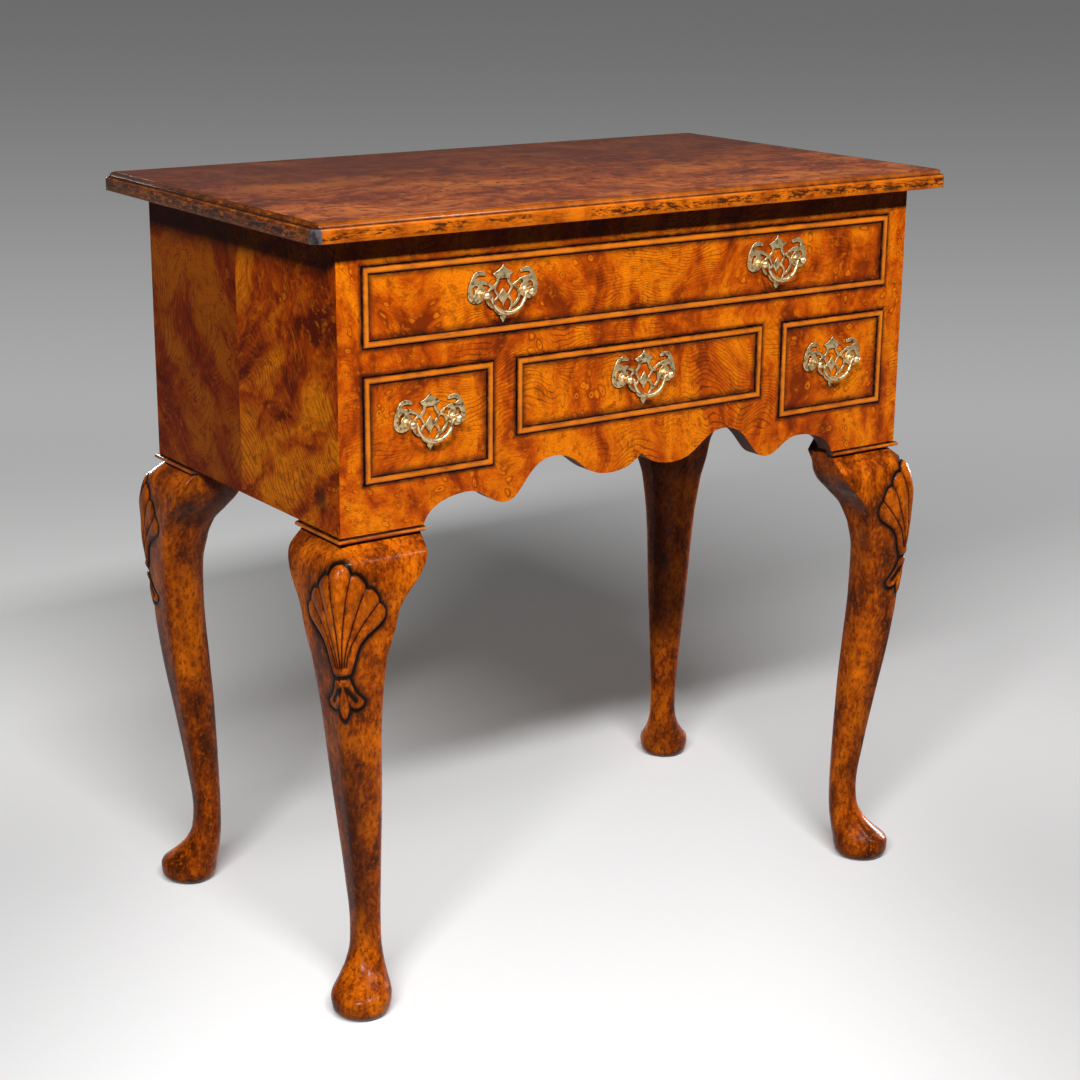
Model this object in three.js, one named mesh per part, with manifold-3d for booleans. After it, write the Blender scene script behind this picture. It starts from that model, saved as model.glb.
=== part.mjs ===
// Lowboy: a small chest of drawers on four cabriole legs, veneered in burr wood.
// Millimetres, +Z up. The front looks along -Y. The origin is on the floor, at the
// middle of the whole piece's width and depth.

import * as THREE from "three";
import { mergeVertices } from "three/addons/utils/BufferGeometryUtils.js";
import Module from "manifold-3d";

const wasm = await Module();
wasm.setup();

// Clearances and tools

const seat = 0.3; // between two pieces that are fixed to each other
const slideGap = 0.3; // under a drawer's side, on its runner
const overrun = 2; // how far a cutter passes the face that it cuts

// Carcase

const carcaseWidth = 697;
const carcaseDepth = 385;
const carcaseHeight = 277.3;
const legHeight = 485;
const collarHeight = 6.5;
const sideThickness = 18;
const backThickness = 9;
const frameThickness = 22;
const stileWidth = 25.6;
const topRailHeight = 26.4;
const midRailHeight = 25;
const midRailDepth = 60;
const dividerWidth = 25.3;
const dustBoardThickness = 8;
const guideHeight = 14;

// Top

const topSideOverhang = 35.5;
const topFrontOverhang = 25.5;
const topBackOverhang = 32.7;
const edgeHeight = 13;
const edgeRise = 6;
const edgeStep = 8;
const edgeFlat = 6;
const cornerCant = 7.5;

// Drawers, given by their openings in the front frame

const longOpeningHeight = 76.6;
const sideOpeningWidth = 143.9;
const sideOpeningHeight = 102.8;
const centreOpeningHeight = 77.3;
const frontGap = 0.8;
const frontThickness = 20;
const faceInset = 0.5;
const beadWidth = 7;
const beadProud = 3.2;
const beadRebate = 5.5;
const drawerSideThickness = 9;
const drawerBackThickness = 9;
const drawerSideDrop = 5; // the sides stop this far below the opening's head
const drawerBackDrop = 6; // and the back stops this far below the sides
const drawerRearGap = 6;
const bottomThickness = 5;
const bottomLift = 7;
const grooveDepth = 3.5;
const tailLap = 11;
const tailNarrow = 11;
const tailWide = 16;
const tailPitch = 30;

// Runners behind the front frame

const runnerWidth = 22;
const runnerThickness = 13;
const ledgeWidth = 14;
const partitionGuideHeight = 30;

// Apron's lower edge: heights above the carcase's bottom edge, places from the middle

const archHeight = 24.8; // the small arch next to each leg
const archReach = 208.5;
const pendantHeight = 8;
const pendantReach = 164.5;
const crownHeight = 46; // the large arch
const crownReach = 107;
const lobeHeight = 19.2;
const lobeReach = 40.5;
const cuspHeight = 34;

// Legs: places are measured inwards from the carcase's outer corner

const earReach = 88.5;
const sideEarReach = 78;
const kneeReach = 20.5;
const toeReach = 22.5;
const ankleInset = 11;
const shankReach = 40.3;
const heelTuck = 12;
const topInset = 2;
const frontRakeIn = 7.5;
const frontRakeForward = 6;
const backRakeIn = 3;
const toeLevel = 0.042; // as a share of the leg's height
const stubWidth = 30;
const stubClearance = 6;

// Collars between the legs and the carcase

const collarProud = 4.2;
const collarWidth = 12;
const collarLip = 2; // beyond the tip of an ear

// Handles

const postPitch = 50.8;
const plateWidth = 79.4;
const crestHeight = 26.5;
const plateThickness = 1.8;
const postReach = 11;
const ballRadius = 4.4;
const neckRadius = 2.7;
const flangeRadius = 4;
const flangeThickness = 1.4;
const shankRadius = 2.2;
const shankBore = 2.5;
const nutWidth = 9;
const nutSides = 6;
const nutThickness = 3.5;
const threadLength = 2.5;
const pinRadius = 1.3;
const pinBore = 1.7;
const pinDepth = 3.2;
const bailHalfWidth = 19.2;
const bailDrop = 18.3;
const bailRadius = 2.4;
const postHeight = 3; // of the posts above the middle of a small drawer's front
const longPostHeight = 1.2;
const longHandleReach = 169.2; // of the long drawer's handles from the middle

// Smoothness of the curved pieces

const legSteps = [4, 4, 6, 4]; // in the four quarters of a section: inner, side, outer, side
const legRings = 23;
const bailSides = 7;
const bailSteps = 9;
const postSides = 10;
const ballSteps = 5;
const archSteps = 7;

// Levels and places that follow from the sizes above

const halfWidth = carcaseWidth / 2;
const carcaseBottom = legHeight + collarHeight;
const carcaseTop = carcaseBottom + carcaseHeight;
const backFace = carcaseDepth - backThickness - seat;
const openingEdge = halfWidth - stileWidth;
const longHead = carcaseTop - topRailHeight;
const longSill = longHead - longOpeningHeight;
const lowerHead = longSill - midRailHeight;
const sideSill = lowerHead - sideOpeningHeight;
const centreSill = lowerHead - centreOpeningHeight;
const dividerOuter = openingEdge - sideOpeningWidth;
const dividerInner = dividerOuter - dividerWidth;
const frontReach = Math.max(topFrontOverhang, toeReach + (1 - toeLevel) * frontRakeForward);
const middleDepth = (carcaseDepth + topBackOverhang - frontReach) / 2;

// Geometry and solids

function solidOf(geometry) {
  const bare = geometry.clone();
  bare.deleteAttribute("normal");
  bare.deleteAttribute("uv");
  const merged = mergeVertices(bare);
  const mesh = new wasm.Mesh({
    numProp: 3,
    vertProperties: merged.attributes.position.array,
    triVerts: new Uint32Array(merged.index.array),
  });
  return new wasm.Manifold(mesh);
}

function geometryOf(solid) {
  const mesh = solid.getMesh();
  const geometry = new THREE.BufferGeometry();
  geometry.setAttribute("position", new THREE.BufferAttribute(mesh.vertProperties, 3));
  geometry.setIndex(new THREE.BufferAttribute(mesh.triVerts, 1));
  const flat = geometry.toNonIndexed();
  flat.computeVertexNormals();
  return flat;
}

function joined(first, ...others) {
  return geometryOf(others.reduce((sum, next) => sum.add(solidOf(next)), solidOf(first)));
}

function cut(body, ...cutters) {
  return geometryOf(cutters.reduce((rest, next) => rest.subtract(solidOf(next)), solidOf(body)));
}

// A box between two values on each axis, in either order.
function block([x0, x1], [y0, y1], [z0, z1]) {
  const box = new THREE.BoxGeometry(Math.abs(x1 - x0), Math.abs(y1 - y0), Math.abs(z1 - z0));
  return box.translate((x0 + x1) / 2, (y0 + y1) / 2, (z0 + z1) / 2);
}

// The same body on the other side of the middle.
function mirrored(geometry) {
  const bare = geometry.index ? geometry.toNonIndexed() : geometry.clone();
  const flipped = bare.applyMatrix4(new THREE.Matrix4().makeScale(-1, 1, 1));
  const count = flipped.attributes.position.count;
  flipped.setIndex(Array.from({ length: count }, (_, i) => count - 1 - i));
  return flipped;
}

const mirroredPairs = (bodies) => bodies.flatMap((body) => [body, mirrored(body)]);

function shapeOf(points) {
  return new THREE.Shape(points.map(([a, b]) => new THREE.Vector2(a, b)));
}

function extruded(shape, depth) {
  return new THREE.ExtrudeGeometry(shape, { depth, bevelEnabled: false });
}

// An outline in X and Z, carried along Y.
function prismAlongY(shape, [y0, y1]) {
  return extruded(shape, y1 - y0).rotateX(Math.PI / 2).translate(0, y1, 0);
}

// An outline in Y and Z, carried along X.
function prismAlongX(shape, [x0, x1]) {
  const turn = new THREE.Matrix4().makeBasis(
    new THREE.Vector3(0, 1, 0),
    new THREE.Vector3(0, 0, 1),
    new THREE.Vector3(1, 0, 0),
  );
  return extruded(shape, x1 - x0).applyMatrix4(turn).translate(x0, 0, 0);
}

// A skin through rings of equally many points, with a fan over each open end. Seen
// against the way the rings go, each ring runs anticlockwise.
function loft(rings, closed = false) {
  const sides = rings[0].length;
  const points = rings.flat();
  const index = [];
  const steps = closed ? rings.length : rings.length - 1;
  for (let k = 0; k < steps; k++) {
    const low = k * sides;
    const high = ((k + 1) % rings.length) * sides;
    for (let i = 0; i < sides; i++) {
      const j = (i + 1) % sides;
      index.push(low + i, low + j, high + j, low + i, high + j, high + i);
    }
  }
  if (!closed) {
    const last = (rings.length - 1) * sides;
    for (const [start, turn] of [[0, 1], [last, 0]]) {
      const ring = points.slice(start, start + sides);
      const middle = ring.reduce((sum, p) => sum.add(p), new THREE.Vector3()).divideScalar(sides);
      const centre = points.push(middle) - 1;
      for (let i = 0; i < sides; i++) {
        const j = (i + 1) % sides;
        index.push(centre, start + (turn ? j : i), start + (turn ? i : j));
      }
    }
  }
  const geometry = new THREE.BufferGeometry().setFromPoints(points);
  geometry.setIndex(index);
  const flat = geometry.toNonIndexed();
  flat.computeVertexNormals();
  return flat;
}

// Finishes

const finish = (color, roughness, metalness = 0) =>
  new THREE.MeshStandardMaterial({ color, roughness, metalness });
const burrTop = () => finish(0x6e2f16, 0.3);
const edgeWood = () => finish(0x7a3d10, 0.35);
const sideVeneer = () => finish(0x7d3410, 0.32);
const frontVeneer = () => finish(0xb35c14, 0.3);
const legWood = () => finish(0x8a4310, 0.35);
const beadWood = () => finish(0xa9520f, 0.35);
const innerWood = () => finish(0x9a7446, 0.7);
const brass = () => finish(0x8f7c50, 0.4, 1);

function add(group, name, geometry, material) {
  const mesh = new THREE.Mesh(geometry, material);
  mesh.name = name;
  group.add(mesh);
  return mesh;
}

const sideName = (side) => (side < 0 ? "left" : "right");

// The top: a burr board inside a stepped moulding with canted corners

// The top's outline, drawn in by a length, with its corners cut at 45 degrees.
function topOutline(inset, z) {
  const x = halfWidth + topSideOverhang - inset;
  const y0 = inset - topFrontOverhang;
  const y1 = carcaseDepth + topBackOverhang - inset;
  const cant = cornerCant - inset * (2 - Math.SQRT2);
  const corners = [
    [x - cant, y0], [x, y0 + cant], [x, y1 - cant], [x - cant, y1],
    [cant - x, y1], [-x, y1 - cant], [-x, y0 + cant], [cant - x, y0],
  ];
  return corners.map(([a, b]) => new THREE.Vector3(a, b, z));
}

// The rounded slope above the moulding's arris: shares of its width and of its rise
const slopeShares = [[0.3, 0.38], [0.62, 0.71], [0.86, 0.92], [1, 1]];

function makeTop(group) {
  const field = edgeStep + edgeFlat;
  const arris = carcaseTop + edgeHeight;
  const face = arris + edgeRise;
  const slope = slopeShares.map(([a, b]) => topOutline(a * edgeStep, arris + b * edgeRise));
  const slab = loft([topOutline(0, carcaseTop + seat), topOutline(0, arris), ...slope]);
  const reachX = halfWidth + topSideOverhang - field;
  const front = field - topFrontOverhang;
  const rear = carcaseDepth + topBackOverhang - field;
  const well = block([-reachX, reachX], [front, rear], [carcaseTop - overrun, face + overrun]);
  const boardX = reachX - seat;
  const board = block([-boardX, boardX], [front + seat, rear - seat], [carcaseTop + seat, face]);
  add(group, "top_edge_moulding", cut(slab, well), edgeWood());
  add(group, "top_panel", board, burrTop());
}

// The carcase: sides, back and the front frame

function makeCase(group) {
  const levels = [carcaseBottom, carcaseTop];
  for (const side of [-1, 1]) {
    const outer = side * halfWidth;
    const inner = side * (halfWidth - sideThickness);
    const panel = block([outer, inner], [frameThickness + seat, carcaseDepth], levels);
    const stile = block([outer, side * openingEdge], [0, frameThickness], levels);
    const dividerX = [side * dividerOuter, side * dividerInner];
    const divider = block(dividerX, [0, frameThickness], [sideSill + seat, lowerHead - seat]);
    add(group, `side_panel_${sideName(side)}`, panel, sideVeneer());
    add(group, `front_stile_${sideName(side)}`, stile, frontVeneer());
    add(group, `drawer_divider_${sideName(side)}`, divider, frontVeneer());
  }
  const backX = halfWidth - sideThickness - seat;
  const railX = openingEdge - seat;
  const back = block([-backX, backX], [carcaseDepth - backThickness, carcaseDepth], levels);
  const topRail = block([-railX, railX], [0, frameThickness], [longHead, carcaseTop]);
  const midFront = block([-railX, railX], [0, frameThickness + overrun], [lowerHead, longSill]);
  const midRear = block([-backX, backX], [frameThickness + seat, midRailDepth], [lowerHead, longSill]);
  add(group, "back_panel", back, innerWood());
  add(group, "top_rail", topRail, frontVeneer());
  add(group, "mid_rail", joined(midFront, midRear), frontVeneer());
}

// The apron's lower edge on the left half, from the leg to the middle.
function apronEdge() {
  const level = (height) => carcaseBottom + height;
  const start = [earReach - halfWidth, carcaseBottom];
  const arch = [-archReach, level(archHeight)];
  const pendant = [-pendantReach, level(pendantHeight)];
  const crown = [-crownReach, level(crownHeight)];
  const lobe = [-lobeReach, level(lobeHeight)];
  const cusp = [0, level(cuspHeight)];
  const bends = [
    // from, to, and the two handles of the curve as shares of the step between them
    [start, arch, [0.08, 0.6], [0.5, 1]],
    [arch, pendant, [0.45, 0], [0.6, 1]],
    [pendant, crown, [0.36, 0], [0.42, 1]],
    [crown, lobe, [0.45, 0], [0.5, 1]],
    [lobe, cusp, [0.6, 0], [0.8, 0.55]],
  ];
  const path = new THREE.Path().moveTo(...start);
  for (const [from, to, firstShares, secondShares] of bends) {
    const handle = (shares) => shares.map((share, axis) => from[axis] + share * (to[axis] - from[axis]));
    path.bezierCurveTo(...handle(firstShares), ...handle(secondShares), ...to);
  }
  return path.getPoints(archSteps).map((point) => [point.x, point.y]);
}

function makeApron(group) {
  const edge = openingEdge - seat;
  const left = apronEdge();
  const right = left.slice(0, -1).reverse().map(([x, z]) => [-x, z]);
  const step = dividerInner - seat;
  const outline = [
    [-edge, sideSill], [-edge, carcaseBottom], ...left, ...right, [edge, carcaseBottom],
    [edge, sideSill], [step, sideSill], [step, centreSill], [-step, centreSill], [-step, sideSill],
  ];
  add(group, "apron", prismAlongY(shapeOf(outline), [0, frameThickness]), frontVeneer());
}

// Inside the case: the dust board, and the runners under the lower drawers

function makeRunners(group) {
  const rear = backFace;
  const wall = halfWidth - sideThickness - seat;
  const boardLevels = [longSill - dustBoardThickness, longSill];
  const board = block([-wall, wall], [midRailDepth + seat, rear], boardLevels);
  const guides = [-1, 1].map((side) =>
    block(
      [side * wall, side * openingEdge],
      [frameThickness + seat, rear],
      [longSill + seat, longSill + guideHeight],
    ),
  );
  const feet = [-1, 1].map((side) =>
    block(
      [side * wall, side * openingEdge],
      [midRailDepth + seat, rear],
      [longSill - dustBoardThickness, longSill + guideHeight],
    ),
  );
  add(group, "dust_board", joined(board, ...guides, ...feet), innerWood());

  const depth = [frameThickness + seat, rear];
  for (const side of [-1, 1]) {
    const runner = [
      [wall, sideSill - runnerThickness], [wall, sideSill + guideHeight],
      [openingEdge, sideSill + guideHeight], [openingEdge, sideSill],
      [wall - runnerWidth, sideSill], [wall - runnerWidth, sideSill - runnerThickness],
    ];
    const partition = [
      [dividerInner - ledgeWidth, centreSill], [dividerInner + seat, centreSill],
      [dividerInner + seat, centreSill + partitionGuideHeight],
      [dividerOuter - seat, centreSill + partitionGuideHeight],
      [dividerOuter - seat, sideSill], [dividerOuter + ledgeWidth, sideSill],
      [dividerOuter + ledgeWidth, sideSill - runnerThickness],
      [dividerInner + seat, sideSill - runnerThickness],
      [dividerInner + seat, centreSill - runnerThickness],
      [dividerInner - ledgeWidth, centreSill - runnerThickness],
    ];
    const turned = (points) => shapeOf(points.map(([x, z]) => [side * x, z]));
    add(group, `side_runner_${sideName(side)}`, prismAlongY(turned(runner), depth), innerWood());
    add(group, `centre_runner_${sideName(side)}`, prismAlongY(turned(partition), depth), innerWood());
  }
}

// The cabriole legs

// Stations up the leg: height as a share of the leg, how far the outer line has gone from
// the ankle to the toe or the knee, how far the inner line has gone from the shank to the
// ear or has tucked in at the heel, and how square the outer, side and inner corners are.
const footShares = [
  [0, 0.66, 1, 2, 1.8, 1.9],
  [0.006, 0.84, 0.6, 2, 1.8, 1.9],
  [0.02, 0.985, 0.2, 2.1, 1.8, 1.9],
  [toeLevel, 1, 0.05, 2.1, 1.8, 1.9],
  [0.07, 0.64, 0, 2.2, 1.8, 1.8],
  [0.1, 0.28, 0, 2.3, 1.9, 1.7],
  [0.135, 0.07, 0, 2.6, 2, 1.7],
];
const topShare = (ankleInset - topInset) / (ankleInset + kneeReach);
const shankShares = [
  [0.186, 0, 0, 3.3, 2.4, 1.7],
  [0.289, 0.127, 0, 4.6, 2.7, 1.75],
  [0.412, 0.35, 0, 5.5, 2.8, 1.7],
  [0.536, 0.59, -0.03, 6.2, 2.8, 1.7],
  [0.66, 0.766, -0.07, 7, 3.4, 1.7],
  [0.763, 0.912, -0.017, 8, 3.8, 1.4],
  [0.82, 0.98, 0.115, 8, 5, 1.3],
  [0.865, 1, 0.215, 8, 9, 1.9],
  [0.9, 1.015, 0.455, 8, 14, 2.4],
  [0.93, 0.965, 0.745, 8, 15, 1.9],
  [0.965, 0.81, 0.953, 8, 14, 1.25],
  [1, topShare, 1, 8, 14, 1],
];

// One row of a station: height, outer line, inner line along the front and along the side,
// and the three corners.
function legStation([height, out, inward, ...corners], isFoot) {
  const outer = ankleInset - out * (ankleInset + (isFoot ? toeReach : kneeReach));
  const ears = isFoot ? [-heelTuck, -heelTuck] : [earReach - shankReach, sideEarReach - shankReach];
  const inner = ears.map((reach) => shankReach + Math.min(inward * ears[0], inward * reach));
  return [height * legHeight, outer, ...inner, ...corners];
}

// The leg's section at one height: a square whose four corners are rounded by the
// superellipse rule, each by its own exponent. The points run anticlockwise from above.
function legSection([z, outer, innerX, innerY, outerCorner, sideCorner, innerCorner], rake) {
  const left = 1 - z / legHeight;
  const place = (inner, share) => (inner + outer) / 2 + ((inner - outer) / 2) * share;
  const exponents = [innerCorner, sideCorner, outerCorner, sideCorner];
  return legSteps.flatMap((steps, quarter) =>
    Array.from({ length: steps }, (_, i) => {
      const angle = (Math.PI / 2) * (quarter + i / steps);
      const c = Math.cos(angle);
      const s = Math.sin(angle);
      const n = exponents[quarter];
      const r = 1 / (Math.abs(c) ** n + Math.abs(s) ** n) ** (1 / n);
      const x = place(innerX, r * c) + left * rake.x;
      const y = place(innerY, r * s) + left * rake.y;
      return new THREE.Vector3(x, y, z);
    }),
  );
}

// A leg under the corner at the origin, with the case towards +X and +Y.
function legGeometry(rake) {
  const stations = [
    ...footShares.map((row) => legStation(row, true)),
    ...shankShares.map((row) => legStation(row, false)),
  ];
  const heights = stations.map((row) => row[0]);
  const curve = new THREE.CubicInterpolant(heights, stations.flatMap((row) => row.slice(1)), 6);
  const levels = [...heights];
  const gaps = heights.slice(1).map((height, i) => [height - heights[i], (height + heights[i]) / 2]);
  gaps.sort((a, b) => b[0] - a[0]);
  levels.push(...gaps.slice(0, legRings - heights.length).map((gap) => gap[1]));
  levels.sort((a, b) => a - b);
  const rings = levels.map((z) => legSection([z, ...curve.evaluate(z)], rake));
  return loft(rings);
}

// The flat head of the leg inside the collar, and the stub that is glued in the corner.
function legHead(stubIn) {
  const low = collarWidth - collarProud + seat;
  const tip = earReach - collarProud;
  const sideTip = sideEarReach - collarProud;
  const arm = sideTip / 2;
  const head = [[low, low], [tip, low], [tip, arm], [arm, sideTip], [low, sideTip]];
  const plate = extruded(shapeOf(head), collarHeight - seat + overrun).translate(0, 0, legHeight - overrun);
  const [x, y] = stubIn;
  const stubTop = sideSill - runnerThickness - stubClearance;
  const stub = block([x, x + stubWidth], [y, y + stubWidth], [legHeight - overrun, stubTop]);
  return [plate, stub];
}

// The collar's half-round profile: shares of its height, and of how far it stands out
const collarShares = [[0.075, 0.6], [0.35, 1], [0.65, 1], [0.925, 0.6]];

// The moulding round a leg's two outer faces, mitred at the corner.
function collarGeometry() {
  const inner = collarWidth - collarProud;
  const z0 = legHeight + seat;
  const z1 = carcaseBottom - seat;
  const bulge = collarShares.map(([up, out]) => [-out * collarProud, z0 + up * (z1 - z0)]);
  const profile = [[inner, z0], [0, z0], ...bulge, [0, z1], [inner, z1]];
  const along = profile.map(([d, z]) => new THREE.Vector3(earReach + collarLip, d, z));
  const mitre = profile.map(([d, z]) => new THREE.Vector3(d, d, z));
  const across = profile.map(([d, z]) => new THREE.Vector3(d, sideEarReach + collarLip, z));
  return loft([along, mitre, across]);
}

function makeLegs(group) {
  const corners = [
    ["front", 0, 1, { x: frontRakeIn, y: -frontRakeForward }, frameThickness + seat],
    ["back", carcaseDepth, -1, { x: backRakeIn, y: 0 }, backThickness + seat],
  ];
  for (const [row, depth, way, rake, stubDepth] of corners) {
    const leg = joined(legGeometry(rake), ...legHead([sideThickness + seat, stubDepth]));
    const collar = collarGeometry();
    for (const side of [-1, 1]) {
      const place = new THREE.Group();
      place.position.set(side * halfWidth, depth, 0);
      place.scale.set(-side, way, 1);
      add(place, `leg_${row}_${sideName(side)}`, leg, legWood());
      add(place, `leg_collar_${row}_${sideName(side)}`, collar, beadWood());
      group.add(place);
    }
  }
}

// Drawers

// The middles of the tails along one end of a board.
function tailPlaces(height) {
  const count = Math.max(2, Math.round(height / tailPitch));
  return Array.from({ length: count }, (_, i) => ((i + 1 / 2) * height) / count);
}

// The four corners of each tail, in Y and Z, all grown by one clearance.
function tailCorners(height, [root, end], grow) {
  const tip = end + Math.sign(end - root) * grow;
  const narrow = tailNarrow / 2 + grow;
  const wide = tailWide / 2 + grow;
  return tailPlaces(height).map((z) => [
    [root, z - narrow], [tip, z - wide], [tip, z + wide], [root, z + narrow],
  ]);
}

// The bead's half-round profile: shares of its width, and of how far it stands out
const beadShares = [[0, 0.2], [0.12, 0.72], [0.35, 1], [0.65, 1], [0.88, 0.72], [1, 0.2]];

// A square frame of half-round moulding round the edge of a drawer's front.
function beadGeometry(width, height) {
  const rear = beadRebate + faceInset - seat;
  const crown = beadShares.map(([across, out]) => [across * beadWidth, faceInset - out * beadProud]);
  const profile = [[0, rear], ...crown, [beadWidth, rear]];
  const corners = [[-1, 0], [1, 0], [1, 1], [-1, 1]];
  const rings = corners.map(([a, b]) =>
    profile.map(([d, y]) => {
      const z = b ? height - d : d;
      return new THREE.Vector3(a * (width / 2 - d), y, z);
    }),
  );
  return loft(rings.map((ring) => ring.reverse()), true);
}

// A drawer in its own frame: the origin is at the middle of its lower front edge, in the
// plane of the case's front.
function makeDrawer(group, name, openingWidth, openingHeight, handleReaches, postLevel) {
  const width = openingWidth - 2 * frontGap;
  const height = openingHeight - 2 * frontGap;
  const x = width / 2;
  const lift = slideGap - frontGap;
  const sideHeight = openingHeight - slideGap - drawerSideDrop;
  const frontBack = faceInset + frontThickness;
  const rear = backFace - drawerRearGap;
  const backFront = rear - drawerBackThickness;
  const bottomTop = lift + bottomLift + bottomThickness;
  const innerX = x - drawerSideThickness;

  // The side board: tails at both ends and a groove for the bottom
  const lapped = [frontBack + seat, frontBack - tailLap];
  const through = [backFront - seat, rear];
  const outline = [
    [lapped[0], 0], [through[0], 0], ...tailCorners(sideHeight, through, 0).flat(),
    [through[0], sideHeight], [lapped[0], sideHeight],
    ...tailCorners(sideHeight, lapped, 0).flat().reverse(),
  ];
  const grooveZ = [lift + bottomLift - seat, bottomTop + seat];
  const grooveFront = frontBack - grooveDepth;
  const slot = block([innerX - overrun, innerX + grooveDepth], [grooveFront, rear + overrun], grooveZ);
  const side = cut(prismAlongX(shapeOf(outline), [innerX, x]).translate(0, 0, lift), slot);
  const sockets = (ends) =>
    mirroredPairs(
      tailCorners(sideHeight, ends, seat).map((corners) =>
        prismAlongX(shapeOf(corners), [innerX - seat, x + overrun]).translate(0, 0, lift),
      ),
    );

  // The front board: rebated for the bead, socketed for the tails, grooved and bored
  const full = block([-x, x], [faceInset + beadRebate, frontBack], [0, height]);
  const faceX = x - beadWidth - seat;
  const faceY = [faceInset, faceInset + beadRebate + overrun];
  const face = block([-faceX, faceX], faceY, [beadWidth + seat, height - beadWidth - seat]);
  const grooveX = innerX + grooveDepth;
  const frontGroove = block([-grooveX, grooveX], [grooveFront, frontBack + overrun], grooveZ);
  const boreLength = frontThickness + 2 * overrun;
  const bores = handleReaches.flatMap((reach) =>
    [-1, 1].map((end) => {
      const bore = new THREE.CylinderGeometry(shankBore, shankBore, boreLength, postSides);
      return bore.translate(reach + (end * postPitch) / 2, frontBack / 2, postLevel);
    }),
  );
  const front = cut(joined(full, face), ...sockets(lapped), frontGroove, ...bores);

  // The back board, socketed right through, and the bottom that slides in under it
  const backLevels = [bottomTop + seat, lift + sideHeight - drawerBackDrop];
  const backBoard = block([-x, x], [backFront, rear], backLevels);
  const back = cut(backBoard, ...sockets(through));
  const bottomX = grooveX - seat;
  const bottom = block([-bottomX, bottomX], [grooveFront + seat, rear], [lift + bottomLift, bottomTop]);

  add(group, `${name}_front`, front, frontVeneer());
  add(group, `${name}_bead`, beadGeometry(width, height), beadWood());
  add(group, `${name}_side_left`, side, innerWood()).scale.x = -1;
  add(group, `${name}_side_right`, side, innerWood());
  add(group, `${name}_back`, back, innerWood());
  add(group, `${name}_bottom`, bottom, innerWood());
}

// Handles

// A place on the plate, as shares of its half width and of the crest's height.
const platePlace = ([a, b]) => [(a * plateWidth) / 2, b * crestHeight];

// The right half of the plate's outline, from the crest's tip down to the drop's tip
const plateShares = [
  [0, 1], [0.04, 0.898], [0.139, 0.785], [0.297, 0.664], [0.234, 0.596], [0.191, 0.513],
  [0.207, 0.351], [0.277, 0.257], [0.332, 0.309], [0.428, 0.385], [0.529, 0.468], [0.642, 0.487],
  [0.746, 0.528], [0.781, 0.589], [0.715, 0.649], [0.605, 0.657], [0.514, 0.638], [0.489, 0.709],
  [0.542, 0.777], [0.668, 0.83], [0.796, 0.774], [0.887, 0.589], [0.957, 0.362], [1, 0.113],
  [0.982, -0.109], [0.902, -0.264], [0.771, -0.34], [0.642, -0.294], [0.544, -0.208],
  [0.494, -0.174], [0.469, -0.328], [0.393, -0.475], [0.307, -0.562], [0.257, -0.574],
  [0.232, -0.664], [0.151, -0.781], [0.073, -0.838], [0.086, -0.906], [0.045, -1.008],
  [0, -1.109],
];

// The right halves of the two openings on the middle line
const neckHoleShares = [
  [0, 0.487], [0.111, 0.487], [0.131, 0.34], [0.181, 0.234], [0.217, 0.166], [0.186, 0.053],
  [0.113, -0.087], [0.06, 0.023], [0, 0.158],
];
const heartHoleShares = [
  [0, -0.528], [0.06, -0.347], [0.126, -0.215], [0.194, -0.309], [0.219, -0.453],
  [0.186, -0.611], [0.103, -0.717], [0, -0.762],
];

// The openings of the right half: in the oval, beside the neck and inside the wing
const sideHoleShares = [
  [
    [0.277, 0.125], [0.363, 0.079], [0.421, -0.053], [0.416, -0.234], [0.353, -0.385],
    [0.285, -0.472], [0.272, -0.347], [0.242, -0.249], [0.174, -0.136], [0.224, -0.008],
  ],
  [
    [0.358, 0.204], [0.453, 0.287], [0.564, 0.34], [0.569, 0.26], [0.509, 0.185], [0.476, 0.075],
    [0.433, 0.098],
  ],
  [
    [0.66, 0.34], [0.761, 0.4], [0.839, 0.34], [0.889, 0.181], [0.894, 0.008], [0.846, -0.121],
    [0.814, 0], [0.796, 0.113], [0.741, 0.219], [0.665, 0.26],
  ],
];

// The pierced plate: one outline with its openings, the same on both sides.
function plateGeometry() {
  const otherSide = (points) => points.map(([x, z]) => [-x, z]).reverse();
  const onMiddle = (shares) => {
    const right = shares.map(platePlace);
    return [...right, ...otherSide(right.slice(1, -1))];
  };
  const sideHoles = sideHoleShares.map((shares) => shares.map(platePlace));
  const middleHoles = [neckHoleShares, heartHoleShares].map(onMiddle);
  const holes = [...middleHoles, ...sideHoles, ...sideHoles.map(otherSide)];
  const shape = shapeOf(onMiddle(plateShares).reverse());
  shape.holes = holes.map((points) => new THREE.Path(points.map(([x, z]) => new THREE.Vector2(x, z))));
  const back = faceInset - seat;
  return prismAlongY(shape, [back - plateThickness, back]);
}

// A round bar along Y, front end last, from pairs of a depth and a radius.
function turnedAlongY(rows, sides) {
  const rings = rows.map(([y, radius]) =>
    Array.from({ length: sides }, (_, i) => {
      const angle = (2 * Math.PI * i) / sides;
      return new THREE.Vector3(radius * Math.cos(angle), y, radius * Math.sin(angle));
    }),
  );
  return loft(rings);
}

// How far round a post's ball its profile goes, as a share of half a turn
const ballShare = 0.95;

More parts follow.
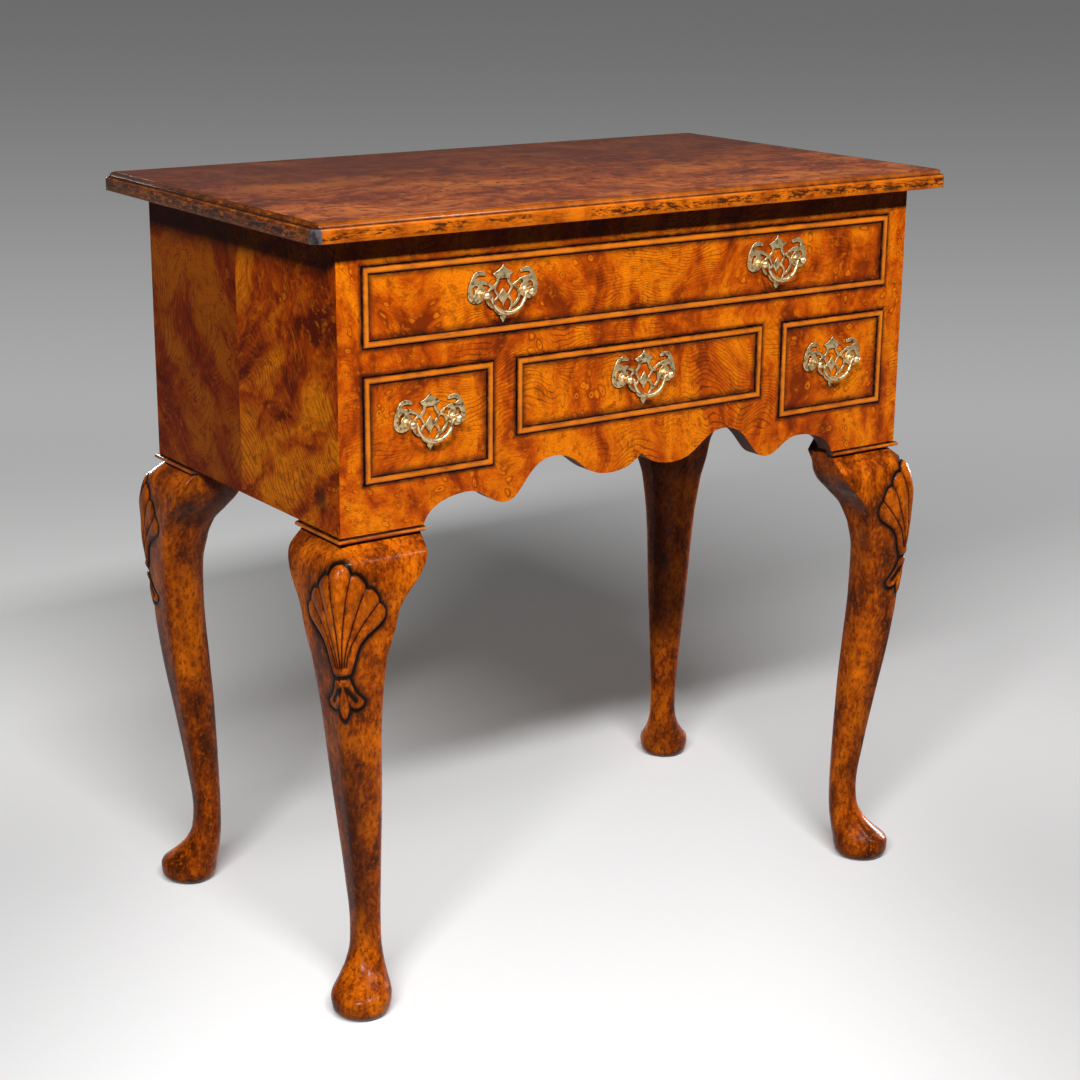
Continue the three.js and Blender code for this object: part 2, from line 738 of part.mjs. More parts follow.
// The right-hand post: its bolt through the drawer's front, its nut and its drilled ball.
function postGeometry() {
  const nutFront = faceInset + frontThickness + seat;
  const nutBack = nutFront + nutThickness;
  const plateFront = faceInset - seat - plateThickness;
  const plateMiddle = plateFront + plateThickness / 2;
  const ballStart = Math.asin(neckRadius / ballRadius);
  const ball = Array.from({ length: ballSteps + 1 }, (_, i) => {
    const angle = ballStart + ((ballShare * Math.PI - ballStart) * i) / ballSteps;
    return [-postReach + ballRadius * Math.cos(angle), ballRadius * Math.sin(angle)];
  });
  const post = turnedAlongY(
    [
      [nutBack + threadLength, shankRadius], [plateMiddle, shankRadius], [plateMiddle, flangeRadius],
      [plateFront - flangeThickness / 2, flangeRadius], [plateFront - flangeThickness, neckRadius],
      ...ball,
    ],
    postSides,
  );
  const nutCorner = nutWidth / 2 / Math.cos(Math.PI / nutSides);
  const nut = turnedAlongY([[nutBack, nutCorner], [nutFront, nutCorner]], nutSides);
  const bore = new THREE.CylinderGeometry(pinBore, pinBore, pinDepth + overrun, postSides);
  bore.rotateZ(Math.PI / 2);
  bore.translate((pinDepth - overrun) / 2 - ballRadius, -postReach, 0);
  return cut(joined(post, nut), bore).translate(postPitch / 2, 0, 0);
}

// Shares of the pin's radius: the bend's place outside the bow, its drop below the pin, its own
// radius, and the radius at the bow's ends
const bendSideShare = 0.1;
const bendDropShare = 0.7;
const bendRadiusShare = 1.15;
const bowRadiusShare = 1.2;
const bowStartShare = 0.07; // where the bow starts, as a share of the half ellipse

// The bail: a bar that thickens towards the bottom of its bow, with a pin at each end.
function bailGeometry() {
  const tip = postPitch / 2 - ballRadius + pinDepth - (pinBore - pinRadius);
  const root = bailHalfWidth + pinRadius;
  const bendX = bailHalfWidth + bendSideShare * pinRadius;
  const half = [
    // place, direction and radius
    [tip, 0, Math.PI, pinRadius],
    [root, 0, Math.PI, pinRadius],
    [bendX, -bendDropShare * pinRadius, (5 * Math.PI) / 4, bendRadiusShare * pinRadius],
  ];
  const start = bowStartShare * Math.PI;
  const slim = bowRadiusShare * pinRadius;
  const bow = Array.from({ length: bailSteps + 1 }, (_, i) => {
    const angle = start + ((Math.PI - 2 * start) * i) / bailSteps;
    const x = bailHalfWidth * Math.cos(angle);
    const z = -bailDrop * Math.sin(angle);
    const heading = Math.atan2(-bailDrop * Math.cos(angle), -bailHalfWidth * Math.sin(angle));
    const radius = slim + (bailRadius - slim) * Math.sin(angle) ** 2;
    return [x, z, heading, radius];
  });
  const far = half.map(([x, z, heading, radius]) => [-x, z, -heading, radius]).reverse();
  const rings = [...half, ...bow, ...far].map(([x, z, heading, radius]) =>
    Array.from({ length: bailSides }, (_, i) => {
      const angle = (2 * Math.PI * i) / bailSides;
      const across = radius * Math.sin(angle);
      const ringX = x - across * Math.sin(heading);
      const ringZ = z + across * Math.cos(heading);
      return new THREE.Vector3(ringX, -postReach + radius * Math.cos(angle), ringZ);
    }),
  );
  return loft(rings);
}

// The whole piece

const root = new THREE.Group();
const whole = new THREE.Group();
whole.position.y = -middleDepth;
root.add(whole);

makeTop(whole);
makeCase(whole);
makeApron(whole);
makeRunners(whole);
makeLegs(whole);

const post = postGeometry();
const plate = joined(plateGeometry(), post, mirrored(post));
const bail = bailGeometry();
const sideMiddle = (openingEdge + dividerOuter) / 2;
const longReaches = [-longHandleReach, longHandleReach];
const drawers = [
  ["long_drawer", 0, longSill, 2 * openingEdge, longOpeningHeight, longReaches, longPostHeight],
  ["left_drawer", -sideMiddle, sideSill, sideOpeningWidth, sideOpeningHeight, [0], postHeight],
  ["centre_drawer", 0, centreSill, 2 * dividerInner, centreOpeningHeight, [0], postHeight],
  ["right_drawer", sideMiddle, sideSill, sideOpeningWidth, sideOpeningHeight, [0], postHeight],
];
for (const [name, x, sill, openingWidth, openingHeight, handleReaches, rise] of drawers) {
  const drawer = new THREE.Group();
  drawer.position.set(x, 0, sill + frontGap);
  const postLevel = openingHeight / 2 - frontGap + rise;
  makeDrawer(drawer, name, openingWidth, openingHeight, handleReaches, postLevel);
  for (const reach of handleReaches) {
    const handle = new THREE.Group();
    handle.position.set(reach, 0, postLevel);
    const handleName = reach === 0 ? name : `${name}_${sideName(reach)}`;
    add(handle, `${handleName}_handle_plate`, plate, brass());
    add(handle, `${handleName}_bail`, bail, brass());
    drawer.add(handle);
  }
  whole.add(drawer);
}

export default root;
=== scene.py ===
"""Lowboy: veneers, mouldings, carved legs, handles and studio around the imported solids."""

import math

import bpy
import numpy as np
from mathutils import Matrix, Vector


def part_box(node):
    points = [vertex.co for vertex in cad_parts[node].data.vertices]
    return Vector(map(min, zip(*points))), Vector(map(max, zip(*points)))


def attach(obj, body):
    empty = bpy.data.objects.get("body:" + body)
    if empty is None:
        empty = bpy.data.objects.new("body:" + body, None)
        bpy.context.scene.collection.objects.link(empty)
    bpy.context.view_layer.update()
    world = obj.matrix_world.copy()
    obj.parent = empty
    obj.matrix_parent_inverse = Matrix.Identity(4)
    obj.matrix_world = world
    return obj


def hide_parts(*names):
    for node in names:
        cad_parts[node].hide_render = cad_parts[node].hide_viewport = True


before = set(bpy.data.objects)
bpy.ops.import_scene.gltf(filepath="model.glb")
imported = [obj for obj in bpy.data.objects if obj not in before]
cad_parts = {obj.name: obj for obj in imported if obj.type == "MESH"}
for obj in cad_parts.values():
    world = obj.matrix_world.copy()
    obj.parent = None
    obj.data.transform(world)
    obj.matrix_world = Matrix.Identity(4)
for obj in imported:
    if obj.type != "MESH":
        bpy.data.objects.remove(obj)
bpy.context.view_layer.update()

bl_info = {
    "name": "Lowboy maker",
    "version": (1, 0, 0),
    "blender": (4, 5, 0),
    "location": "3D View > Sidebar > Lowboy",
    "description": "Makes the veneers, mouldings, carved legs and handles of a lowboy",
    "category": "Object",
}

MM = 0.001
DRAWERS = ("long_drawer", "left_drawer", "centre_drawer", "right_drawer")
HANDLES = {
    "long_drawer_left": "long_drawer",
    "long_drawer_right": "long_drawer",
    "left_drawer": "left_drawer",
    "centre_drawer": "centre_drawer",
    "right_drawer": "right_drawer",
}
SIDES = (("left", -1), ("right", 1))


# Places taken from the frame


def low(node, axis):
    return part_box(node)[0][axis]


def high(node, axis):
    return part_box(node)[1][axis]


FRONT = low("front_stile_left", 1)
BACK = high("side_panel_left", 1)
HALF_WIDTH = high("side_panel_right", 0)
CASE_BOTTOM = low("side_panel_left", 2)
CASE_TOP = high("side_panel_left", 2)
OPENING_GAP = 0.8 * MM
OUTLINE_STEPS = 4


# Sizes and colours


def length(name, description, value):
    return bpy.props.FloatProperty(
        name=name, description=description, default=value, unit="LENGTH", precision=5
    )


def colour(name, description, red, green, blue):
    """A colour property; the three parts are given as the 0 to 255 values seen on a screen."""
    parts = [part / 255 for part in (red, green, blue)]
    linear = [part / 12.92 if part <= 0.04045 else ((part + 0.055) / 1.055) ** 2.4 for part in parts]
    return bpy.props.FloatVectorProperty(
        name=name, description=description, default=linear, subtype="COLOR", size=3, min=0, max=1
    )


class LowboySizes(bpy.types.PropertyGroup):
    veneer: length("Veneer", "Thickness of the veneer on the case", 0.25 * MM)
    side_seam: length("Side seam", "Place of the seam between a side's two leaves, from the front", 195 * MM)
    line_gap: length("Growth lines", "Spacing of the dark lines in the curly veneer", 3.4 * MM)
    bead_width: length("Bead width", "Width of the moulding round a drawer's front", 7 * MM)
    bead_proud: length("Bead height", "How far the moulding stands in front of the drawer", 3.2 * MM)
    top_cant: length("Top cant", "Length cut off the top's corners along each edge", 7.5 * MM)
    carving_shift: length("Carving shift", "How far the shell sits towards the front or back face", 2 * MM)
    carving_depth: length("Carving depth", "Depth of the grooves and the ground round the shell", 1.7 * MM)
    carving_rise: length("Carving rise", "How far the shell stands above the plain knee", 0.9 * MM)
    plate_thickness: length("Plate thickness", "Thickness of a handle's pierced plate", 1.8 * MM)
    bail_radius: length("Bail radius", "Half the thickness of a bail at the bottom of its bow", 2.4 * MM)


class LowboyColours(bpy.types.PropertyGroup):
    front_light: colour("Front light", "Lightest wood of the front veneer", 228, 120, 5)
    front_middle: colour("Front middle", "Main tone of the front veneer", 188, 76, 2)
    front_dark: colour("Front dark", "Darkest clouds of the front veneer", 116, 38, 0)
    side_light: colour("Side light", "Lightest wood of the side veneer", 238, 130, 10)
    side_middle: colour("Side middle", "Main tone of the side veneer", 182, 70, 1)
    side_dark: colour("Side dark", "Darkest clouds of the side veneer", 96, 22, 0)
    top_light: colour("Top light", "Lightest wood of the top veneer", 206, 112, 44)
    top_middle: colour("Top middle", "Main tone of the top veneer", 148, 66, 26)
    top_dark: colour("Top dark", "Darkest clouds of the top veneer", 86, 34, 15)
    leg_light: colour("Leg light", "Lightest wood of the legs", 218, 108, 8)
    leg_middle: colour("Leg middle", "Main tone of the legs", 142, 58, 3)
    leg_dark: colour("Leg dark", "Darkest wood of the legs", 74, 29, 3)
    bead_light: colour("Bead light", "Lightest wood of the mouldings", 212, 108, 10)
    bead_dark: colour("Bead dark", "Darkest wood of the mouldings", 150, 64, 4)
    # A lighter crown on the drawers' beads: partly wear, partly a painted highlight.
    rubbed: colour("Rubbed", "Rubbed crown of the drawers' mouldings", 232, 134, 26)
    # Painted reflection: a grey shine laid on the top's canted corners.
    painted_corner_reflection: colour("Worn", "Worn lacquer on the corners of the top", 92, 84, 88)
    # Near-black for growth lines, burr eyes and wax, and for painted shade in corners, grooves and gaps.
    glaze_and_shade: colour("Glaze", "Dark wax in corners and grooves", 20, 9, 4)
    inside_light: colour("Inside light", "Lightest unpolished wood", 190, 152, 98)
    inside_dark: colour("Inside dark", "Darkest unpolished wood", 138, 100, 58)
    brass_light: colour("Brass light", "Rubbed brass", 230, 202, 150)
    brass_dark: colour("Brass dark", "Tarnished brass", 98, 78, 48)
    floor: colour("Floor", "Studio floor near the piece", 250, 250, 250)
    floor_far: colour("Floor far", "Studio floor behind the piece", 172, 172, 172)
    # Painted falloff of the lamps' pool of light: the floor beside the piece is darker.
    floor_painted_falloff: colour("Floor edge", "Studio floor beside the piece", 216, 216, 216)
    floor_shadow: colour("Floor in shadow", "Light of the floor where no lamp reaches it", 84, 84, 84)
    surroundings: colour("Surroundings", "The studio where there is no backdrop", 122, 122, 122)
    backdrop: colour("Backdrop", "Upright part of the backdrop", 104, 104, 104)


# Shader maths


SEEN_RAYS = ("Is Camera Ray", "Is Glossy Ray", "Is Transmission Ray")


class Value:
    """An output socket. Each operator on it adds one Math node."""

    def __init__(self, graph, socket):
        self.graph = graph
        self.socket = socket

    def __add__(self, other):
        return self.graph.maths("ADD", self, other)

    def __sub__(self, other):
        return self.graph.maths("SUBTRACT", self, other)

    def __rsub__(self, other):
        return self.graph.maths("SUBTRACT", other, self)

    def __mul__(self, other):
        return self.graph.maths("MULTIPLY", self, other)

    def __abs__(self):
        return self.graph.maths("ABSOLUTE", self)

    __radd__ = __add__
    __rmul__ = __mul__


class Graph:
    """The nodes of one material, or of the world."""

    def __init__(self, name, owner=None):
        self.owner = owner or bpy.data.materials.new(name)
        self.owner.use_nodes = True
        self.tree = self.owner.node_tree
        self.tree.nodes.clear()

    def node(self, kind, settings=None, inputs=None, output=0):
        """Adds a node, sets it up, fills its sockets with values or links, and returns one output."""
        made = self.tree.nodes.new(kind)
        for name, value in (settings or {}).items():
            if name == "stops":
                self._set_stops(made.color_ramp, value)
            else:
                setattr(made, name, value)
        for key, value in (inputs or {}).items():
            socket = made.inputs[key]
            if isinstance(value, Value):
                self.tree.links.new(value.socket, socket)
            elif socket.type == "RGBA" and len(value) == 3:
                socket.default_value = (*value, 1)
            else:
                socket.default_value = value
        return Value(self, made.outputs[output]) if made.outputs else made

    @staticmethod
    def _set_stops(ramp, stops):
        """The ramp's stops, from pairs of a place and a colour."""
        while len(ramp.elements) < len(stops):
            ramp.elements.new(1)
        for element, (place, shade) in zip(ramp.elements, stops):
            element.position = place
            element.color = (*shade, 1)

    def maths(self, operation, *values):
        return self.node("ShaderNodeMath", {"operation": operation}, dict(enumerate(values)))

    def vector(self, operation, *values, output=0):
        return self.node("ShaderNodeVectorMath", {"operation": operation}, dict(enumerate(values)), output)

    def stretched(self, vector, *factors):
        return self.vector("MULTIPLY", vector, factors)

    def axes(self, vector):
        """The three parts of a vector."""
        parts = self.node("ShaderNodeSeparateXYZ", inputs={0: vector})
        return [Value(self, socket) for socket in parts.socket.node.outputs]

    def mix(self, first, second, factor):
        """Goes from the first colour to the second one."""
        return self.node("ShaderNodeMix", {"data_type": "RGBA"}, {0: factor, 6: first, 7: second}, 2)

    def place(self):
        return self.node("ShaderNodeTexCoord", output="Object")

    def mark(self, name):
        """A number that the piece's points carry."""
        return self.node("ShaderNodeAttribute", {"attribute_name": name}, output="Fac")

    def noise(self, vector, scale, detail=2.0, roughness=0.5, output="Fac"):
        inputs = {"Vector": vector, "Scale": scale, "Detail": detail, "Roughness": roughness}
        return self.node("ShaderNodeTexNoise", inputs=inputs, output=output)

    def spots(self, vector, scale):
        """The distance from the nearest of many scattered points."""
        inputs = {"Vector": vector, "Scale": scale}
        return self.node("ShaderNodeTexVoronoi", inputs=inputs, output="Distance")

    def between(self, value, start, end):
        """Goes from 0 to 1 smoothly as the value goes from start to end."""
        inputs = {"Value": value, "From Min": start, "From Max": end}
        return self.node("ShaderNodeMapRange", {"interpolation_type": "SMOOTHSTEP"}, inputs)

    def ramp(self, factor, *stops):
        return self.node("ShaderNodeValToRGB", {"stops": stops}, {"Fac": factor})

    def pushed(self, vector, scale, reach):
        """The place moved about by soft noise, at most half of reach each way."""
        away = self.vector("SUBTRACT", self.noise(vector, scale, output="Color"), (0.5, 0.5, 0.5))
        return self.vector("ADD", vector, self.stretched(away, reach, reach, reach))

    def bump(self, height, strength, distance):
        inputs = {"Height": height, "Strength": strength, "Distance": distance}
        return self.node("ShaderNodeBump", inputs=inputs)

    def seen(self):
        """1 for what the camera sees, also in a glossy piece or through a clear one, or else 0."""
        rays = self.node("ShaderNodeLightPath").socket.node.outputs
        camera, glossy, clear = (Value(self, rays[name]) for name in SEEN_RAYS)
        return self.maths("MAXIMUM", self.maths("MAXIMUM", camera, glossy), clear)

    def finish(
        self, base, roughness, normal=None, metallic=0.0, coat=0.0, coat_roughness=0.1, specular=0.5,
        emission=None,
    ):
        """Closes the material with one shader and returns it."""
        inputs = {
            "Base Color": base,
            "Roughness": roughness,
            "Metallic": metallic,
            "Coat Weight": coat,
            "Coat Roughness": coat_roughness,
            "Specular IOR Level": specular,
        }
        if normal:
            inputs["Normal"] = normal
        if emission:
            inputs.update({"Emission Color": emission, "Emission Strength": 1.0})
        shader = self.node("ShaderNodeBsdfPrincipled", inputs=inputs)
        self.node("ShaderNodeOutputMaterial", inputs={"Surface": shader})
        return self.owner


# Woods and brass


def new_finish(name):
    """A new material's graph, the piece's colours and the place on the object."""
    graph = Graph(name)
    return graph, bpy.context.scene.lowboy_colours, graph.place()


def near_rectangles(graph, rectangles, reach):
    """1 on the edges of rectangles (x0, x1, z0, z1) in the front plane, falling to 0 at reach from them.

    The signed distance from a rectangle is the greater of the distances past its sides and past its ends.
    """
    across, _, upward = graph.axes(graph.place())
    total = None
    for x0, x1, z0, z1 in rectangles:
        past_x = abs(across - (x0 + x1) / 2) - (x1 - x0) / 2
        past_z = abs(upward - (z0 + z1) / 2) - (z1 - z0) / 2
        close = 1 - graph.between(abs(graph.maths("MAXIMUM", past_x, past_z)), 0.0, reach)
        total = close if total is None else graph.maths("MAXIMUM", total, close)
    return total


def grain_flow(graph, vector):
    """The place pushed about by large and middling soft noise, as the grain of curly wood wanders."""
    return graph.pushed(graph.pushed(vector, 5, 0.11), 15, 0.036)


def burr_flow(graph, smooth):
    """The same with small curls added, as in a burr."""
    return graph.pushed(smooth, 62, 0.009)


def curly_colour(graph, vector, tones, glaze_and_shade, gap, lines, burr, plain):
    """Curly veneer: upright clouds, a swirling mottle, thin dark growth lines and small burr eyes.

    The growth lines are the crests of a sine of the height, after soft noise has pushed the place about.
    Lines and burr are the strengths of the lines and eyes, and plain is how much of the wood has eyes in
    place of lines. Returns the colour and how strongly a growth line shows.
    """
    light, middle, dark = tones
    smooth = grain_flow(graph, vector)
    flow = burr_flow(graph, smooth)
    cloud = graph.noise(graph.stretched(flow, 1.7, 1.7, 0.6), 16, 4, 0.6)
    base = graph.ramp(cloud, (0.34, dark), (0.46, middle), (0.6, light))
    mottle = graph.noise(flow, 95, 5, 0.78)
    base = graph.mix(base, dark, graph.between(mottle, 0.5, 0.64) * 0.6)
    base = graph.mix(base, light, graph.between(mottle, 0.47, 0.36) * 0.5)
    fine = graph.noise(graph.stretched(flow, 1.0, 1.0, 3.0), 330, 3, 0.7)
    base = graph.mix(base, dark, graph.between(fine, 0.5, 0.6) * 0.4)
    curly = graph.between(graph.noise(vector, 9), plain, plain + 0.12)
    arches = graph.noise(smooth, 13, 1) * 12.0
    wave = graph.maths("SINE", (graph.axes(smooth)[2] * (1 / gap) + arches) * (2 * math.pi))
    line = graph.between(wave, 0.58, 1.0) * curly * graph.between(graph.noise(smooth, 34), 0.34, 0.52)
    base = graph.mix(base, glaze_and_shade, line * lines)
    eyes = graph.spots(flow, 80.0)
    where = (1 - curly) * graph.between(graph.noise(vector, 21), 0.44, 0.54)
    ring = graph.between(abs(eyes - 0.3), 0.1, 0.0)
    base = graph.mix(base, light, graph.between(eyes, 0.3, 0.16) * where * burr * 0.8)
    base = graph.mix(base, dark, ring * where * burr)
    base = graph.mix(base, glaze_and_shade, graph.between(eyes, 0.13, 0.05) * where * burr)
    return base, line


def wood_gloss(graph, vector):
    return graph.noise(vector, 60) * 0.12 + 0.26


def front_veneer_material(name, rectangles, reach, strength):
    """Amber curly veneer; old glaze and painted shade darken it by the rectangles' edges, painted shade
    behind the face.
    """
    graph, shades, vector = new_finish(name)
    tones = (shades.front_light, shades.front_middle, shades.front_dark)
    gap = bpy.context.scene.lowboy_sizes.line_gap
    base, line = curly_colour(graph, vector, tones, shades.glaze_and_shade, gap, 0.62, 0.7, 0.46)
    # Old glaze and painted shade in the gaps next to the rectangles' edges; painted shade on faces set back
    # behind the front.
    darkening = near_rectangles(graph, rectangles, reach) * (graph.noise(vector, 120, 3) * 0.9 + 0.4) * strength
    behind = graph.between(graph.axes(vector)[1], FRONT + 1.2 * MM, FRONT + 1.8 * MM)
    base = graph.mix(base, shades.glaze_and_shade, graph.maths("MAXIMUM", darkening, behind * 0.8))
    return graph.finish(base, wood_gloss(graph, vector), graph.bump(1 - line, 0.15, 0.4 * MM), specular=0.14)


def side_veneer_material(name, seam):
    """Darker burr veneer in two leaves, each the other's mirror image about the seam, with a few knots."""
    graph, shades, vector = new_finish(name)
    tones = (shades.side_light, shades.side_middle, shades.side_dark)
    across, depth, height = graph.axes(vector)
    mirrored = abs(depth - seam)
    rear = graph.between(depth - seam, -0.3 * MM, 0.3 * MM)
    along, upward = height * 0.75 - mirrored * 0.5, mirrored * 0.85 + height * 0.5
    place = graph.node("ShaderNodeCombineXYZ", inputs={"X": across + rear * 0.021, "Y": along, "Z": upward})
    gap = bpy.context.scene.lowboy_sizes.line_gap * 1.5
    base, line = curly_colour(graph, place, tones, shades.glaze_and_shade, gap, 0.6, 0.75, 0.4)
    base = graph.mix(base, shades.side_dark, rear * 0.6)
    base = graph.mix(base, shades.glaze_and_shade, graph.between(graph.spots(place, 7.0), 0.13, 0.03) * 0.8)
    return graph.finish(base, wood_gloss(graph, place), graph.bump(1 - line, 0.12, 0.4 * MM), specular=0.02)


def burr_top_material(name):
    """Red-brown burr: fine speckles and curls, soft clouds across the width, and painted shade darker
    towards the back.
    """
    graph, shades, vector = new_finish(name)
    flow = burr_flow(graph, grain_flow(graph, vector))
    cloud = graph.noise(graph.stretched(flow, 0.8, 1.5, 1.0), 12, 5, 0.65)
    base = graph.ramp(cloud, (0.3, shades.top_dark), (0.48, shades.top_middle), (0.66, shades.top_light))
    mottle = graph.noise(flow, 62, 5, 0.75)
    base = graph.mix(base, shades.top_dark, graph.between(mottle, 0.5, 0.6) * 0.75)
    base = graph.mix(base, shades.top_light, graph.between(mottle, 0.46, 0.36) * 0.6)
    where = graph.between(graph.noise(vector, 16), 0.48, 0.58)
    base = graph.mix(base, shades.glaze_and_shade, graph.between(graph.spots(flow, 70.0), 0.24, 0.1) * where * 0.75)
    # Painted shade: the top darkens towards the back.
    rear = graph.between(graph.axes(vector)[1], FRONT + 50 * MM, BACK - 60 * MM)
    base = graph.mix(base, shades.top_dark, rear * 0.75)
    gloss = graph.noise(vector, 25, 3) * 0.16 + 0.3
    return graph.finish(base, gloss, graph.bump(mottle, 0.08, 0.6 * MM), specular=0.38)


def leg_material(name):
    """Walnut with mottled light and dark, and dark where the carving is deep: partly wax, partly painted
    shade.
    """
    graph, shades, vector = new_finish(name)
    flow = graph.pushed(graph.pushed(vector, 14, 0.03), 60, 0.008)
    cloud = graph.noise(graph.stretched(flow, 1.0, 1.0, 0.5), 30, 5, 0.74)
    base = graph.ramp(cloud, (0.36, shades.leg_dark), (0.48, shades.leg_middle), (0.66, shades.leg_light))
    fleck = graph.noise(graph.stretched(vector, 1.0, 1.0, 0.6), 260, 4, 0.75)
    base = graph.mix(base, shades.leg_dark, graph.between(fleck, 0.5, 0.62) * 0.7)
    base = graph.mix(base, shades.leg_light, graph.between(fleck, 0.46, 0.34) * 0.5)
    base = graph.mix(base, shades.bead_light, graph.mark("rubbed") * 0.2)
    # Wax and painted shade where the carving is sunk; wax along the shank's ridge.
    base = graph.mix(base, shades.glaze_and_shade, graph.mark("wax"))
    gloss = graph.noise(vector, 60) * 0.14 + 0.2
    normal = graph.bump(fleck, 0.05, 0.4 * MM)
    return graph.finish(base, gloss, normal, coat=0.06, coat_roughness=0.16, specular=0.05)


def canted_corners(graph, box):
    """1 on the top's canted corner faces, where the sum of the distances from the middle is greatest."""
    (x0, y0, _), (x1, y1, _) = box
    across, depth, _ = graph.axes(graph.place())
    away = abs(across - (x0 + x1) / 2) + abs(depth - (y0 + y1) / 2)
    reach = (x1 - x0 + y1 - y0) / 2 - bpy.context.scene.lowboy_sizes.top_cant
    return graph.between(away, reach - 1.6 * MM, reach - 0.8 * MM)


def moulding_material(name, mottled, box=None):
    """Orange moulding wood with dark flecks, a crown that is partly worn and partly a painted highlight, and
    dark where its mark is high, partly wax and partly painted shade.

    Round the top's box the flecks keep to the middle of the edge, painted shade makes the two sides darker
    than the front and the back, and a painted grey reflection lies on the cut corners.
    """
    graph, shades, vector = new_finish(name)
    flow = graph.pushed(graph.pushed(vector, 20, 0.02), 75, 0.006)
    base = graph.ramp(graph.noise(flow, 36, 4, 0.6), (0.34, shades.bead_dark), (0.58, shades.bead_light))
    fleck = graph.noise(graph.stretched(vector, 0.28, 0.28, 1.0), 330, 5, 0.8)
    patch = graph.between(graph.noise(graph.stretched(vector, 0.35, 0.35, 2.2), 42, 4, 0.7), 0.4, 0.52)
    speck = graph.between(fleck, 0.45, 0.54) * patch * mottled
    if box:
        foot, height = box[0][2], graph.axes(vector)[2]
        speck = speck * graph.between(height, foot + 1 * MM, foot + 4 * MM)
        speck = speck * graph.between(height, foot + 13 * MM, foot + 9.5 * MM)
    base = graph.mix(base, shades.glaze_and_shade, speck)
    # A lighter crown on the beads, partly wear and partly a painted highlight.
    base = graph.mix(base, shades.rubbed, graph.mark("rubbed") * graph.between(fleck, 0.36, 0.5) * 0.5)
    # Dark where the mark is high: partly wax, partly painted shade in hollows, on beads' flanks and collar
    # edges.
    base = graph.mix(base, shades.glaze_and_shade, graph.mark("wax") * (graph.noise(vector, 150) * 0.8 + 0.6))
    if box:
        # Painted shade: the top edge's two sides are made darker, laid as dark flecks.
        reach, across = (box[1][0] - box[0][0]) / 2, graph.axes(vector)[0]
        side = graph.between(abs(across), reach - 9 * MM, reach - 7.5 * MM)
        base = graph.mix(base, shades.glaze_and_shade, side * graph.between(fleck, 0.3, 0.55) * 0.75)
        # Painted reflection: the canted corners are made grey, broken by dark patches.
        corner = canted_corners(graph, box)
        base = graph.mix(base, shades.painted_corner_reflection, corner)
        darkening = graph.between(graph.noise(vector, 150, 3), 0.36, 0.7) * 0.9
        base = graph.mix(base, shades.glaze_and_shade, corner * darkening)
    normal = graph.bump(fleck, 0.05, 0.3 * MM)
    return graph.finish(base, fleck * 0.15 + 0.22, normal, coat=0.25, coat_roughness=0.2, specular=0.08)


def inside_material(name, axis):
    """Plain unpolished wood with its grain along one axis."""
    graph, shades, vector = new_finish(name)
    drawn_out = [1.0 if k == axis else 14.0 for k in range(3)]
    grain = graph.noise(graph.stretched(vector, *drawn_out), 9, 5, 0.6)
    base = graph.ramp(grain, (0.35, shades.inside_dark), (0.62, shades.inside_light))
    pores = graph.noise(graph.stretched(vector, *(6 * part for part in drawn_out)), 22)
    base = graph.mix(base, shades.inside_dark, graph.between(pores, 0.55, 0.72) * 0.6)
    return graph.finish(base, 0.62 + 0.1 * grain, graph.bump(pores, 0.15, 0.4 * MM), specular=0.3)


def brass_material(name):
    """Old brass: rubbed bright in places, tarnished in others, and dark on its side walls from tarnish and
    painted shade.
    """
    graph, shades, vector = new_finish(name)
    stain = graph.noise(vector, 220, 4, 0.6)
    base = graph.mix(shades.brass_light, shades.brass_dark, graph.between(stain, 0.48, 0.68))
    # Tarnish and painted shade where the mark is high.
    base = graph.mix(base, shades.glaze_and_shade, graph.mark("wax"))
    pits = graph.bump(graph.noise(vector, 900), 0.12, 0.2 * MM)
    return graph.finish(base, stain * 0.25 + 0.22, pits, metallic=0.9)


# Meshes


def grid_faces(rows, columns, wrap_columns, wrap_rows=False):
    """Quads between neighbouring rows and columns of a grid whose points are numbered row by row."""
    index = np.arange(rows * columns).reshape(rows, columns)
    low_left = index if wrap_columns else index[:, :-1]
    low_right = np.roll(index, -1, axis=1) if wrap_columns else index[:, 1:]
    up_left, up_right = np.roll(low_left, -1, axis=0), np.roll(low_right, -1, axis=0)
    quads = np.stack([low_left, low_right, up_right, up_left], axis=-1)
    if not wrap_rows:
        quads = quads[:-1]
    return quads.reshape(-1, 4).tolist()


def shell(points):
    """Points and faces of a skin over points[row, column]: a row is a ring, and one face closes each end."""
    rows, columns = points.shape[:2]
    faces = grid_faces(rows, columns, True)
    last = (rows - 1) * columns
    faces.append(list(range(columns))[::-1])
    faces.append(list(range(last, last + columns)))
    return points.reshape(-1, 3), faces


def band(points):
    """Points and faces of a moulding carried all the way round, from its section at each corner."""
    faces = grid_faces(*points.shape[:2], True, True)
    return points.reshape(-1, 3), [face[::-1] for face in faces]


def combined(shells):
    """Several shells as one set of points and faces."""
    points, faces, start = [], [], 0
    for part_points, part_faces in shells:
        points.append(part_points)
        faces.extend([[start + k for k in face] for face in part_faces])
        start += len(part_points)
    return np.concatenate(points), faces


